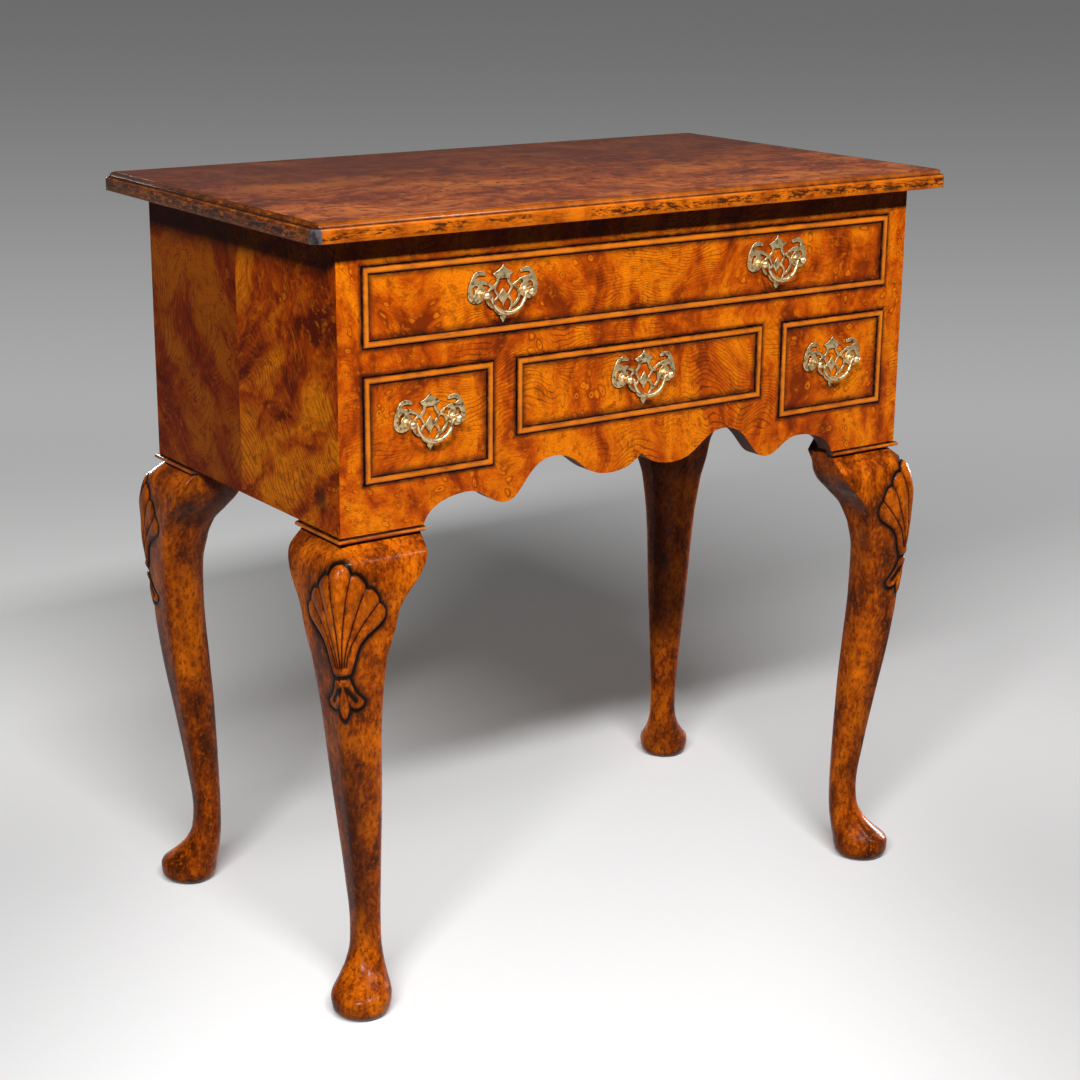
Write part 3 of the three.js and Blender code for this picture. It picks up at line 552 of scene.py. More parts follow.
def add_piece(name, points, faces, material, body, node=None, slot=None, marks=None, sharp=None):
    """Makes the mesh object, rides it on its body and hides the CAD node it stands for.

    It is smooth across edges that turn by less than the sharp angle, in degrees, or flat without one.
    """
    mesh = bpy.data.meshes.new(name)
    mesh.from_pydata(points.tolist(), [], faces)
    for label, values in (marks or {}).items():
        mesh.attributes.new(label, "FLOAT", "POINT").data.foreach_set("value", values.astype(np.float32))
    mesh.polygons.foreach_set("use_smooth", [bool(sharp)] * len(mesh.polygons))
    if sharp:
        mesh.set_sharp_from_angle(angle=math.radians(sharp))
    mesh.update()
    made = bpy.data.objects.new(name, mesh)
    bpy.context.scene.collection.objects.link(made)
    made.data.materials.append(material)
    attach(made, body)
    if node:
        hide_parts(node)


def dress(material, *nodes):
    """Gives solids that stay in sight their material."""
    for node in nodes:
        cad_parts[node].data.materials[0] = material


def pairs(*names):
    return [f"{name}_{side}" for name in names for side, _ in SIDES]


def flat_form(outlines, thickness, depth, bevel=0.0):
    """A flat form in the X-Z plane from closed outlines, an inner outline being an opening.

    The outlines are filled, thickened by half the thickness each way about the given depth, and their
    edges are rounded by the bevel, which stays inside the outlines.
    """
    data = bpy.data.curves.new("outline", "CURVE")
    data.dimensions = "2D"
    data.fill_mode = "BOTH"
    data.extrude = thickness / 2 - bevel
    data.bevel_depth = bevel
    data.bevel_resolution = 2
    data.offset = -bevel
    for outline in outlines:
        count = len(outline)
        spline = data.splines.new("POLY")
        spline.points.add(count - 1)
        spline.points.foreach_set("co", np.c_[outline, np.zeros(count), np.ones(count)].ravel())
        spline.use_cyclic_u = True
    carrier = bpy.data.objects.new("outline", data)
    bpy.context.scene.collection.objects.link(carrier)
    mesh = bpy.data.meshes.new_from_object(carrier.evaluated_get(bpy.context.evaluated_depsgraph_get()))
    flat = np.empty(3 * len(mesh.vertices))
    mesh.vertices.foreach_get("co", flat)
    flat = flat.reshape(-1, 3)
    points = np.c_[flat[:, 0], depth - flat[:, 2], flat[:, 1]]
    faces = [list(face.vertices) for face in mesh.polygons]
    bpy.data.objects.remove(carrier)
    bpy.data.curves.remove(data)
    bpy.data.meshes.remove(mesh)
    return merged_points(points, faces)


def merged_points(points, faces):
    """The same form with points at one place made one, so that its edges are joined."""
    keys, index = np.unique(np.round(points / 1e-7).astype(np.int64), axis=0, return_inverse=True)
    index = index.ravel()
    joined = [[int(index[k]) for k in face] for face in faces]
    return keys * 1e-7, [face for face in joined if len(set(face)) == len(face)]


def smooth_outline(rows):
    """A closed outline by the Catmull-Rom rule, from rows of x, z and a mark, 1 where the curve breaks.

    Between two points the place at share t is half of 2p1 + (p2 - p0)t + (2p0 - 5p1 + 4p2 - p3)t^2
    + (3p1 - p0 - 3p2 + p3)t^3. At a break the outer neighbour is the point itself.
    """
    rows = np.array(rows, float)
    points, sharp = rows[:, :2] * MM, rows[:, 2:] > 0
    before = np.where(sharp, points, np.roll(points, 1, 0))
    after = np.roll(points, -1, 0)
    far = np.where(np.roll(sharp, -1, 0), after, np.roll(points, -2, 0))
    t = (np.arange(OUTLINE_STEPS) / OUTLINE_STEPS)[:, None]
    p0, p1, p2, p3 = (part[:, None] for part in (before, points, after, far))
    bend = (2 * p0 - 5 * p1 + 4 * p2 - p3) * t**2 + (3 * p1 - p0 - 3 * p2 + p3) * t**3
    return ((2 * p1 + (p2 - p0) * t + bend) / 2).reshape(-1, 2)


def whole_outline(half):
    """Both halves of an outline that crosses the middle line at its first and last point, smoothed."""
    right = np.array(half, float)
    return smooth_outline(np.concatenate([right, right[-2:0:-1] * (-1, 1, 1)]))


def side_outlines(outline):
    """An outline to the right of the middle and its mirror image."""
    right = smooth_outline(outline)
    return right, right * (-1, 1)


# Case


APRON_BENDS = (
    # height above the case's bottom, place from the middle, and the curve's handles to the next row
    ((0.0, 258.0), (0.08, 0.6), (0.5, 1.0)),
    ((24.8, 208.5), (0.45, 0.0), (0.6, 1.0)),
    ((8.0, 164.5), (0.36, 0.0), (0.42, 1.0)),
    ((46.0, 107.0), (0.45, 0.0), (0.5, 1.0)),
    ((19.2, 40.5), (0.6, 0.0), (0.8, 0.55)),
    ((34.0, 0.0), None, None),
)
APRON_STEPS = 24
APRON_GAP = 0.3 * MM


def apron_edge():
    """The apron's lower edge from the left leg to the right one: cubic curves between its turning points."""
    left = []
    t = np.linspace(0, 1, APRON_STEPS, endpoint=False)[:, None]
    for (start, first, second), (end, _, _) in zip(APRON_BENDS, APRON_BENDS[1:]):
        a, d = (np.array([-reach * MM, CASE_BOTTOM + height * MM]) for height, reach in (start, end))
        b, c = a + np.array(first) * (d - a), a + np.array(second) * (d - a)
        left.append((1 - t) ** 3 * a + 3 * (1 - t) ** 2 * t * b + 3 * (1 - t) * t**2 * c + t**3 * d)
    left = np.concatenate([*left, [d]])
    return np.concatenate([left, (left * (-1, 1))[-2::-1]])


def opening(drawer):
    """The drawer's opening in the front frame: x0, x1, z0, z1."""
    (x0, _, z0), (x1, _, z1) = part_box(f"{drawer}_bead")
    return x0 - OPENING_GAP, x1 + OPENING_GAP, z0 - OPENING_GAP, z1 + OPENING_GAP


def rectangle(x0, x1, z0, z1):
    return [(x0, z0), (x1, z0), (x1, z1), (x0, z1)]


def across_middle(points):
    """The mirror images of x and z, in the opposite order."""
    return [(-x, z) for x, z in points[::-1]]


class LOWBOY_OT_case(bpy.types.Operator):
    """Lays the veneers on the case and finishes its boards"""

    bl_idname = "lowboy.case"
    bl_label = "Case and veneers"

    def execute(self, context):
        sizes = context.scene.lowboy_sizes
        openings = [opening(drawer) for drawer in DRAWERS]
        front = front_veneer_material("front_veneer", openings, 5 * MM, 1.0)
        edge = apron_edge()
        corners = [(-HALF_WIDTH, CASE_TOP), (-HALF_WIDTH, CASE_BOTTOM)]
        outline = np.concatenate([corners, edge, across_middle(corners)])
        holes = [rectangle(*hole) for hole in openings]
        sheet = flat_form([outline, *holes], sizes.veneer, FRONT - sizes.veneer / 2)
        add_piece("front_veneer", *sheet, front, "carcase", slot="front_veneer")

        (_, y0, _), (end, y1, rise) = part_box("apron")
        step = low("drawer_divider_right", 0) - APRON_GAP
        side_top = opening("left_drawer")[2]
        ends = [(-end, side_top), (-end, CASE_BOTTOM)]
        upper = [(step, side_top), (step, rise), (-step, rise), (-step, side_top)]
        board = flat_form([np.concatenate([ends, edge, across_middle(ends), upper])], y1 - y0, (y0 + y1) / 2)
        add_piece("apron", *board, front, "carcase", "apron", "front_veneer")

        side = side_veneer_material("side_veneer", FRONT + sizes.side_seam)
        face = rectangle(FRONT - sizes.veneer, BACK, CASE_BOTTOM, CASE_TOP)
        for label, way in SIDES:
            both = sorted([way * HALF_WIDTH, way * (HALF_WIDTH + sizes.veneer)])
            leaf = shell(np.array([[(x, y, z) for y, z in face] for x in both]))
            add_piece(f"side_veneer_{label}", *leaf, side, "carcase", slot="side_veneer")
        dress(side, *pairs("side_panel"))
        dress(front, "top_rail", "mid_rail", *pairs("front_stile", "drawer_divider"))
        dress(inside_material("inside_width", 0), "back_panel", "dust_board")
        dress(inside_material("inside_depth", 1), *pairs("side_runner", "centre_runner"))
        return {"FINISHED"}


# Top


TOP_PROFILE = (
    # place inwards, height above the moulding's foot, and how dark it is made: wax and painted shade in the
    # hollows
    (0.35, 0.0, 0.8),
    (0.0, 0.35, 0.3),
    (0.0, 4.0, 0.0),
    (0.0, 9.0, 0.0),
    (0.0, 12.2, 0.0),
    (0.25, 12.75, 0.0),
    (0.7, 13.1, 0.1),
    (2.3, 13.5, 0.5),
    (2.8, 13.7, 1.0),
    (3.05, 14.5, 0.7),
    (3.4, 15.7, 0.5),
    (4.2, 16.9, 0.4),
    (5.4, 17.9, 0.5),
    (6.8, 18.5, 0.65),
    (8.0, 18.6, 0.8),
    (8.3, 18.1, 0.9),
    (8.5, 17.5, 1.0),
    (9.6, 17.3, 1.0),
    (10.0, 17.3, 1.0),
    (10.0, 0.0, 1.0),
)
TOP_BORDER = (
    # the same without the dark mark for the burr veneer's border, from its rounded edge to the board in the
    # middle
    (9.3, 17.4),
    (9.35, 18.2),
    (9.7, 18.65),
    (10.2, 18.7),
    (13.98, 18.7),
    (13.98, 17.4),
)


def canted_rings(profile, box, cant):
    """The profile at each corner of the top: its points go round rectangles with corners cut at 45 degrees.

    Drawing the outline in by a length shortens the cut corners by 2 - sqrt(2) of it.
    """
    (x0, y0, z0), (x1, y1, _) = box
    inset, height = np.array(profile).T[:2] * MM
    cut = np.maximum(cant - inset * (2 - math.sqrt(2)), 0.1 * MM)
    left, right, front, back = x0 + inset, x1 - inset, y0 + inset, y1 - inset
    corners = (
        (right - cut, front), (right, front + cut), (right, back - cut), (right - cut, back),
        (left + cut, back), (left, back - cut), (left, front + cut), (left + cut, front),
    )
    return np.array([np.c_[x, y, z0 + height] for x, y in corners])


class LOWBOY_OT_top(bpy.types.Operator):
    """Makes the top's stepped edge moulding and its burr veneer"""

    bl_idname = "lowboy.top"
    bl_label = "Top and edge moulding"

    def execute(self, context):
        cant = context.scene.lowboy_sizes.top_cant
        name = "top_edge_moulding"
        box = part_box(name)
        edge = moulding_material("edge_wood", 0.9, box)
        rings = canted_rings(TOP_PROFILE, box, cant)
        marks = {"wax": np.tile([wax for _, _, wax in TOP_PROFILE], len(rings))}
        add_piece(name, *band(rings), edge, "carcase", name, "edge_wood", marks, 40)
        burr = burr_top_material("burr_top")
        border = band(canted_rings(TOP_BORDER, box, cant))
        add_piece("top_border", *border, burr, "carcase", slot="burr_top", sharp=40)
        dress(burr, "top_panel")
        return {"FINISHED"}


# Legs


LEG_HEIGHT = 485 * MM
RUN_SAMPLES = 481
LEG_STATIONS = np.array([
    # height, outer line, inner line, and how square the outer, side and inner corners are
    (0.0, 0.66, 1.0, 2.0, 1.8, 1.9),
    (0.006, 0.84, 0.6, 2.0, 1.8, 1.9),
    (0.02, 0.985, 0.2, 2.1, 1.8, 1.9),
    (0.042, 1.0, 0.05, 2.1, 1.8, 1.9),
    (0.07, 0.64, 0.0, 2.2, 1.8, 1.8),
    (0.1, 0.28, 0.0, 2.3, 1.9, 1.7),
    (0.135, 0.07, 0.0, 2.6, 2.0, 1.7),
    (0.186, 0.0, 0.0, 3.3, 2.4, 1.7),
    (0.289, 0.127, 0.0, 4.6, 2.7, 1.75),
    (0.412, 0.35, 0.0, 5.5, 2.8, 1.7),
    (0.536, 0.59, -0.03, 6.2, 3.0, 1.7),
    (0.66, 0.766, -0.07, 7.0, 4.2, 1.7),
    (0.763, 0.912, -0.017, 8.0, 7.0, 1.4),
    (0.82, 0.98, 0.115, 8.0, 14.0, 1.3),
    (0.865, 1.0, 0.215, 8.0, 26.0, 1.9),
    (0.9, 1.015, 0.455, 8.0, 36.0, 2.4),
    (0.93, 0.965, 0.745, 8.0, 40.0, 1.9),
    (0.965, 0.81, 0.953, 8.0, 40.0, 1.25),
    (1.0, 0.286, 1.0, 8.0, 40.0, 1.0),
])
FOOT_ROWS = 7
ANKLE_INSET = 11 * MM
TOE_REACH = 22.5 * MM
KNEE_REACH = 20.5 * MM
SHANK_REACH = 40.3 * MM
HEEL_TUCK = 12 * MM
EAR_REACH = 88.5 * MM
SIDE_EAR_REACH = 78 * MM
COLLAR_LIP = 2 * MM
COLLAR_PROUD = 4.2 * MM
COLLAR_STEP = 0.6 * MM
COLLAR_BEHIND = 7.8 * MM
RAKE_IN = 7.5 * MM
RAKE_FORWARD = 5.99 * MM
BACK_RAKE_IN = 3 * MM
SHELL = (
    # right half of the carved shell, from its tip to its neck: place from the ridge along the surface,
    # height, and 1 at a notch between two lobes
    (0, 471.5, 0), (5.5, 469.6, 0), (9.8, 465.5, 0), (12, 460.4, 1), (18.5, 459.6, 0), (24.8, 455, 0),
    (28.6, 450, 0), (29.4, 446, 1), (36, 444.6, 0), (41, 440, 0), (43.6, 434.8, 0), (43.8, 430.6, 1),
    (48.2, 426.8, 0), (50.4, 421, 0), (49.6, 415, 0), (44.5, 409.3, 0), (36.5, 403.8, 0), (27, 397.4, 0),
    (20, 388.4, 0), (15.5, 377, 0), (12, 368, 0), (10, 363.6, 1), (0, 362.8, 0),
)
BELLFLOWER = (
    # the same for the three petals below the neck
    (0, 360.2, 0), (8.6, 359.4, 1), (11, 352, 0), (14, 345, 0), (18.6, 339, 0), (22.4, 334.6, 1),
    (20.4, 329.6, 0), (14.6, 327, 0), (8.8, 328.6, 0), (5.6, 333.2, 1), (5.4, 327.5, 0), (3.4, 321.5, 0),
    (0, 316.5, 1),
)
GROOVES = np.array([
    # height, and how far the three grooves of each half are from the ridge there
    (355.0, 0.4, 1.8, 3.4),
    (377.0, 1.2, 3.9, 6.4),
    (391.0, 2.0, 7.0, 11.4),
    (410.0, 3.9, 13.8, 24.6),
    (430.0, 6.7, 21.8, 43.4),
    (446.0, 9.2, 29.3, 60.0),
    (460.0, 12.0, 36.5, 76.0),
    (490.0, 18.0, 52.0, 108.0),
])


def monotone(at, xs, ys):
    """Smooth values at the places, through the columns of ys, that never pass beyond their neighbours.

    Slopes are harmonic means of the two secants next to a point, or zero where these change sign; between
    two points runs the cubic with those slopes.
    """
    steps = np.diff(xs)[:, None]
    secants = np.diff(ys, axis=0) / steps
    a, b = secants[:-1], secants[1:]
    safe = np.where(a * b > 0, a + b, 1.0)
    slopes = np.concatenate([secants[:1], np.where(a * b > 0, 2 * a * b / safe, 0.0), secants[-1:]])
    k = np.clip(np.searchsorted(xs, at, side="right") - 1, 0, len(xs) - 2)
    h = steps[k]
    t = ((at - xs[k])[:, None]) / h
    return (
        (2 * t**3 - 3 * t**2 + 1) * ys[k]
        + (t**3 - 2 * t**2 + t) * h * slopes[k]
        + (3 * t**2 - 2 * t**3) * ys[k + 1]
        + (t**3 - t**2) * h * slopes[k + 1]
    )


def leg_stations():
    """Heights, and for each the outer line, the two inner lines, and how square the three corners are."""
    height, out, inward, *corners = LEG_STATIONS.T
    foot = np.arange(len(height)) < FOOT_ROWS
    outer = ANKLE_INSET - out * (ANKLE_INSET + np.where(foot, TOE_REACH, KNEE_REACH))
    ear = inward * np.where(foot, -HEEL_TUCK, EAR_REACH - SHANK_REACH)
    side_ear = np.minimum(ear, inward * np.where(foot, -HEEL_TUCK, SIDE_EAR_REACH - SHANK_REACH))
    table = np.c_[outer, SHANK_REACH + ear, SHANK_REACH + side_ear, np.transpose(corners)]
    return height * LEG_HEIGHT, table


def section_runs(row):
    """A section's four runs from corner to corner, closely sampled, the first from the outer corner.

    The section is a rectangle whose corners are rounded by the superellipse rule: a point's distance from
    the middle, as a share of the half width, is 1 / (|cos|^n + |sin|^n)^(1/n), with n of each corner's own.
    """
    outer, inner_x, inner_y, n_outer, n_side, n_inner = row
    square = (n_inner, n_side, n_outer, n_side)
    runs = []
    for start in (5, 7, 1, 3):
        eighth = np.linspace(start, start + 2, RUN_SAMPLES)
        n = np.where(eighth < start + 1, square[start // 2], square[(start + 1) // 2 % 4])
        c, s = np.cos(eighth * math.pi / 4), np.sin(eighth * math.pi / 4)
        reach = 1 / (np.abs(c) ** n + np.abs(s) ** n) ** (1 / n)
        x = (inner_x + outer) / 2 + (inner_x - outer) / 2 * reach * c
        y = (inner_y + outer) / 2 + (inner_y - outer) / 2 * reach * s
        runs.append(np.c_[x, y])
    return runs


def leg_surface(heights, shares):
    """Points of the leg before it is raked, under the origin, with the case towards +X and +Y.

    Each run is sampled at the given shares of its length. Also gives each point's length along the surface
    from the outer corner's ridge, negative on the side face; on the two inner faces it is far out.
    """
    levels, table = leg_stations()
    points, places = [], []
    for z, row in zip(heights, monotone(heights, levels, table)):
        ring, place = [], []
        for k, (run, share) in enumerate(zip(section_runs(row), shares)):
            along = np.concatenate([[0], np.cumsum(np.hypot(*np.diff(run, axis=0).T))])
            at = share * along[-1]
            x, y = (np.interp(at, along, line) for line in run.T)
            ring.append(np.c_[x, y, np.full(len(at), z)])
            place.append((at, at + 1, at + 1, at - along[-1])[k])
        points.append(np.concatenate(ring))
        places.append(np.concatenate(place))
    return np.array(points), np.array(places)


def surface_normals(points):
    """Unit normals of a wrapped grid, from the cross products of its two directions."""
    along = np.roll(points, -1, axis=1) - np.roll(points, 1, axis=1)
    upward = np.gradient(points, axis=0)
    normal = np.cross(along, upward)
    return normal / np.maximum(np.linalg.norm(normal, axis=-1, keepdims=True), 1e-12)


def even_steps(*runs):
    """Places from 0 on. Each run is a count of even steps and where they end; the last end is left out."""
    places, start = [], 0.0
    for count, end in runs:
        places.append(np.linspace(start, end, count, endpoint=False))
        start = end
    return np.concatenate(places)


def leg_grid():
    """Heights and shares of the runs: closer together on the knee, under the carving, and at the arrises."""
    heights = np.append(even_steps((36, 0.3), (30, 0.64), (204, 1)), 1.0)
    face, inner = even_steps((112, 0.93), (20, 1)), even_steps((14, 0.08), (26, 1))
    turned_round = [np.concatenate([[0], 1 - shares[:0:-1]]) for shares in (inner, face)]
    return heights * LEG_HEIGHT, (face, inner, *turned_round)


def depth_inside(x, z, outline):
    """Distance from a closed outline, positive inside it.

    It is the least distance from the outline's edges. A point is inside when a ray to its right crosses an
    odd number of them.
    """
    nearest = np.full(x.shape, np.inf)
    inside = np.zeros(x.shape, bool)
    for (ax, az), (bx, bz) in zip(outline, np.roll(outline, -1, axis=0)):
        dx, dz = bx - ax, bz - az
        t = np.clip(((x - ax) * dx + (z - az) * dz) / (dx * dx + dz * dz), 0, 1)
        nearest = np.minimum(nearest, np.hypot(x - ax - t * dx, z - az - t * dz))
        inside ^= ((az > z) != (bz > z)) & (x < ax + (z - az) * dx / (dz or 1.0))
    return np.where(inside, nearest, -nearest)


def rounded(away, width):
    """From 0 to 1 along a quarter circle as the distance goes from 0 to the width."""
    return np.sqrt(np.maximum(1 - (1 - np.clip(away / width, 0, 1)) ** 2, 0))


def line_groove(x, z, start, end, width):
    """1 on a straight line, falling off on both sides by the bell curve."""
    (ax, az), (bx, bz) = start, end
    t = np.clip(((x - ax) * (bx - ax) + (z - az) * (bz - az)) / ((bx - ax) ** 2 + (bz - az) ** 2), 0, 1)
    return np.exp(-((np.hypot(x - ax - t * (bx - ax), z - az - t * (bz - az)) / width) ** 2))


def groove_lines(z):
    """How far the three grooves of each half are from the ridge at the heights."""
    return monotone(z.ravel(), GROOVES[:, 0], GROOVES[:, 1:]).reshape(*z.shape, 3)


def carving(place, height, sizes):
    """How far the knee's carving lifts or sinks the surface, at a length from the ridge and a height.

    Inside the shell the surface rises along a quarter circle with the distance from the nearest groove or
    from the outline, so that each lobe is round. Outside, the ground is cut down next to the outline and
    comes back to the plain surface exponentially. Also gives how dark the surface is made there, partly dark
    wax and partly painted shade in the grooves and the sunk ground, and how much the surface is rubbed. Dark
    wax also lies along the shank's ridge. All lengths in here are in millimetres.
    """
    lobe_width, petal_width, ridge_width = 7.5, 3.6, 17
    ground_fade, ground_reach, grooves_start = 4.2, 62, 372
    x, z = (place - sizes.carving_shift) / MM, height / MM
    shell_in = depth_inside(x, z, whole_outline(SHELL) / MM)
    lines = groove_lines(z)
    slope = groove_lines(z + 1) - lines
    to_groove = (np.abs(np.abs(x)[..., None] - lines) / np.sqrt(1 + slope**2)).min(axis=-1)
    to_groove = to_groove + np.clip(grooves_start - z, 0, 8)
    lobes = rounded(np.minimum(shell_in, to_groove), lobe_width)
    bell_in = depth_inside(x, z, whole_outline(BELLFLOWER) / MM)
    petals = rounded(bell_in, petal_width)
    side = np.abs(x)
    spoon = line_groove(side, z, (4.5, 349), (13.5, 336), 3.4)
    cleft = line_groove(side, z, (2.2, 352), (5.4, 334), 0.9)
    vein = line_groove(side, z, (0, 347), (0, 319), 0.8)
    petals = petals - 0.85 * spoon - 0.5 * cleft - 0.35 * vein
    depth = sizes.carving_depth / MM
    full = depth + sizes.carving_rise / MM
    outside = np.maximum(-np.maximum(shell_in, bell_in), 0)
    ground = np.exp(-outside / ground_fade) * np.exp(-((x / ground_reach) ** 8))
    raised = np.where(shell_in > 0, full * lobes, np.where(bell_in > 0, 0.85 * full * petals, 0))
    lift = raised - depth * ground
    # Painted shade, with some wax: the sunk grooves and ground are made dark.
    wax = np.clip((-lift - 0.12) / (0.5 * depth), 0, 1)
    shank = np.clip((z - 50) / 60, 0, 1) * np.clip((350 - z) / 90, 0, 1)
    wax = np.maximum(wax, 0.55 * shank * np.exp(-((place / MM / ridge_width) ** 2)))
    return lift * MM, wax, np.clip(lift / (sizes.carving_rise / MM), 0, 1)


def at_corner(points, side, way):
    """The skin of a form made under the origin, carried to a corner of the case.

    Side is -1 on the left and 1 on the right, and way is 1 in front and -1 behind.
    """
    skin, faces = shell(points * (-side, way, 1) + (side * HALF_WIDTH, FRONT if way > 0 else BACK, 0))
    return skin, [face[::-1] for face in faces] if side * way > 0 else faces


class LOWBOY_OT_legs(bpy.types.Operator):
    """Makes the four cabriole legs with their carved knees, and the collars above them"""

    bl_idname = "lowboy.legs"
    bl_label = "Legs and collars"

    def execute(self, context):
        wood = leg_material("leg_wood")
        bead = moulding_material("collar_wood", 0.35)
        plain, place = leg_surface(*leg_grid())
        lift, wax, rubbed = carving(place, plain[..., 2], context.scene.lowboy_sizes)
        marks = {"wax": wax.ravel(), "rubbed": rubbed.ravel()}
        carved = plain + lift[..., None] * surface_normals(plain)
        lean = 1 - carved[..., 2:] / LEG_HEIGHT
        for row, way, *rake in (("front", 1, RAKE_IN, -RAKE_FORWARD, 0), ("back", -1, BACK_RAKE_IN, 0, 0)):
            for label, side in SIDES:
                name = f"leg_{row}_{label}"
                leg = at_corner(carved + lean * rake, side, way)
                add_piece(name, *leg, wood, "carcase", name, "leg_wood", marks, 50)
                self.collar(f"leg_collar_{row}_{label}", side, way, bead)
        return {"FINISHED"}

    @staticmethod
    def collar(name, side, way, material):
        """A half-round carried along an L: depth and height follow a half circle of angles."""
        z0, z1 = low(name, 2), high(name, 2)
        angle = np.linspace(-math.pi / 2, math.pi / 2, 15)
        steps = [COLLAR_BEHIND, COLLAR_STEP]
        out = np.concatenate([steps, -COLLAR_PROUD * np.cos(angle) ** 0.7, steps[::-1]])
        up = np.pad((z0 + z1) / 2 + 0.4 * (z1 - z0) * np.sin(angle), 2, constant_values=(z0, z1))
        ends = [np.full_like(out, reach + COLLAR_LIP) for reach in (EAR_REACH, SIDE_EAR_REACH)]
        points = np.array([np.c_[ends[0], out, up], np.c_[out, out, up], np.c_[out, ends[1], up]])
        # Painted shade, with some wax: dark along the collar's upper and lower edges and on its steps.
        wax = np.pad(np.clip(np.abs(np.sin(angle)) * 2.5 - 1.2, 0, 1), 2, constant_values=1.0)
        skin = at_corner(points, side, way)
        add_piece(name, *skin, material, "carcase", name, "bead_wood", {"wax": np.tile(wax, 3)}, 40)


# Drawers


class LOWBOY_OT_drawers(bpy.types.Operator):
    """Makes the beads round the drawers' fronts and finishes the drawers' boards"""

    bl_idname = "lowboy.drawers"
    bl_label = "Drawers"

    def execute(self, context):
        sizes = context.scene.lowboy_sizes
        bead = moulding_material("bead_wood", 0.3)
        across = inside_material("drawer_width", 0)
        deep = inside_material("drawer_depth", 1)
        # half-round: depth follows the sine and the way in follows the cosine of one angle
        angle = np.linspace(0, math.pi, 17)
        width = sizes.bead_width
        inward = np.pad(width / 2 * (1 - np.cos(angle)), 1, constant_values=(0, width))
        behind = sizes.bead_proud * (1 - np.sin(angle) ** 0.8)
        # Painted shade, with some wax: the bead's flanks are dark where they turn away, so that it looks
        # round.
        wax = np.pad(np.clip(2.5 - 2.9 * np.sin(angle), 0, 1), 1, constant_values=1.0)
        # A lighter crown, partly wear and partly a painted highlight along the bead.
        rubbed = np.pad(np.clip((np.sin(angle) - 0.85) / 0.13, 0, 1), 1)
        marks = {"wax": np.tile(wax, 4), "rubbed": np.tile(rubbed, 4)}
        for drawer in DRAWERS:
            name = f"{drawer}_bead"
            (x0, y0, z0), (x1, y1, z1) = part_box(name)
            panel = (x0 + width, x1 - width, z0 + width, z1 - width)
            dress(front_veneer_material(f"{drawer}_veneer", [panel], 8 * MM, 0.9), f"{drawer}_front")
            dress(deep, *pairs(f"{drawer}_side"))
            dress(across, f"{drawer}_back", f"{drawer}_bottom")
            depth = np.pad(y0 + behind, 1, constant_values=y1)
            corners = ((x0, z0, 1, 1), (x1, z0, -1, 1), (x1, z1, -1, -1), (x0, z1, 1, -1))
            rings = np.array([np.c_[x + a * inward, depth, z + b * inward] for x, z, a, b in corners])
            add_piece(name, *band(rings), bead, drawer, name, "bead_wood", marks, 40)
        return {"FINISHED"}


# Handles


PLATE_OUTLINE = (
    # right half, from the crest's tip down to the drop's tip: x, z, and 1 where the outline breaks
    (0, 26.5, 1), (1.6, 23.8, 0), (5.5, 20.8, 0), (11.8, 17.6, 1), (9.3, 15.8, 0), (7.6, 13.6, 0),
    (8.2, 9.3, 0), (11, 6.8, 1), (13.2, 8.2, 0), (17, 10.2, 0), (21, 12.4, 0), (25.5, 12.9, 0),
    (29.6, 14, 0), (31, 15.6, 0), (28.4, 17.2, 0), (24, 17.4, 0), (20.4, 16.9, 0), (19.4, 18.8, 0),
    (21.5, 20.6, 0), (26.5, 22, 0), (31.6, 20.5, 0), (35.2, 15.6, 0), (38, 9.6, 0), (39.6, 3, 0),
    (39, -2.9, 0), (35.8, -7, 0), (30.6, -9, 0), (25.5, -7.8, 0), (21.6, -5.5, 0), (19.6, -4.6, 1),
    (18.6, -8.7, 0), (15.6, -12.6, 0), (12.2, -14.9, 0), (10.2, -15.2, 1), (9.2, -17.6, 0), (6, -20.7, 0),
    (2.9, -22.2, 1), (3.4, -24, 0), (1.8, -26.7, 0), (0, -29.3, 1),
)
NECK_HOLE = (
    (0, 12.9, 0), (4.4, 12.9, 1), (5.2, 9, 0), (7.2, 6.2, 0), (8.6, 4.4, 1), (7.4, 1.4, 0), (4.5, -2.3, 1),
    (2.4, 0.6, 0), (0, 4.2, 1),
)
HEART_HOLE = (
    (0, -14, 1), (2.4, -9.2, 0), (5, -5.7, 1), (7.7, -8.2, 0), (8.7, -12, 0), (7.4, -16.2, 0), (4.1, -19, 0),
    (0, -20.2, 0),
)
OVAL_HOLE = (
    (11, 3.3, 1), (14.4, 2.1, 0), (16.7, -1.4, 0), (16.5, -6.2, 0), (14, -10.2, 0), (11.3, -12.5, 1),
    (10.8, -9.2, 0), (9.6, -6.6, 0), (6.9, -3.6, 1), (8.9, -0.2, 0),
)
SHOULDER_HOLE = (
    (14.2, 5.4, 1), (18, 7.6, 0), (22.4, 9, 1), (22.6, 6.9, 0), (20.2, 4.9, 0), (18.9, 2, 0), (17.2, 2.6, 0),
)
WING_HOLE = (
    (28.4, 7.4, 1), (30.8, 8.2, 0), (32.7, 7, 0), (33.9, 4.2, 0), (34, 0.8, 0), (33, -1.6, 1),
    (32.2, 0.8, 0), (31.6, 3, 0), (30.2, 5, 0), (28.5, 6, 0),
)
POST_PITCH = 50.8 * MM
POST_REACH = 11 * MM
FACE_INSET = 0.5 * MM
SEAT = 0.3 * MM
FRONT_THICKNESS = 20 * MM
BALL_RADIUS = 4.4 * MM
NECK_RADIUS = 2.7 * MM
FLANGE_RADIUS = 4.0 * MM
SHANK_RADIUS = 2.2 * MM
NUT_WIDTH = 9 * MM
NUT_THICKNESS = 3.5 * MM
THREAD_LENGTH = 2.5 * MM
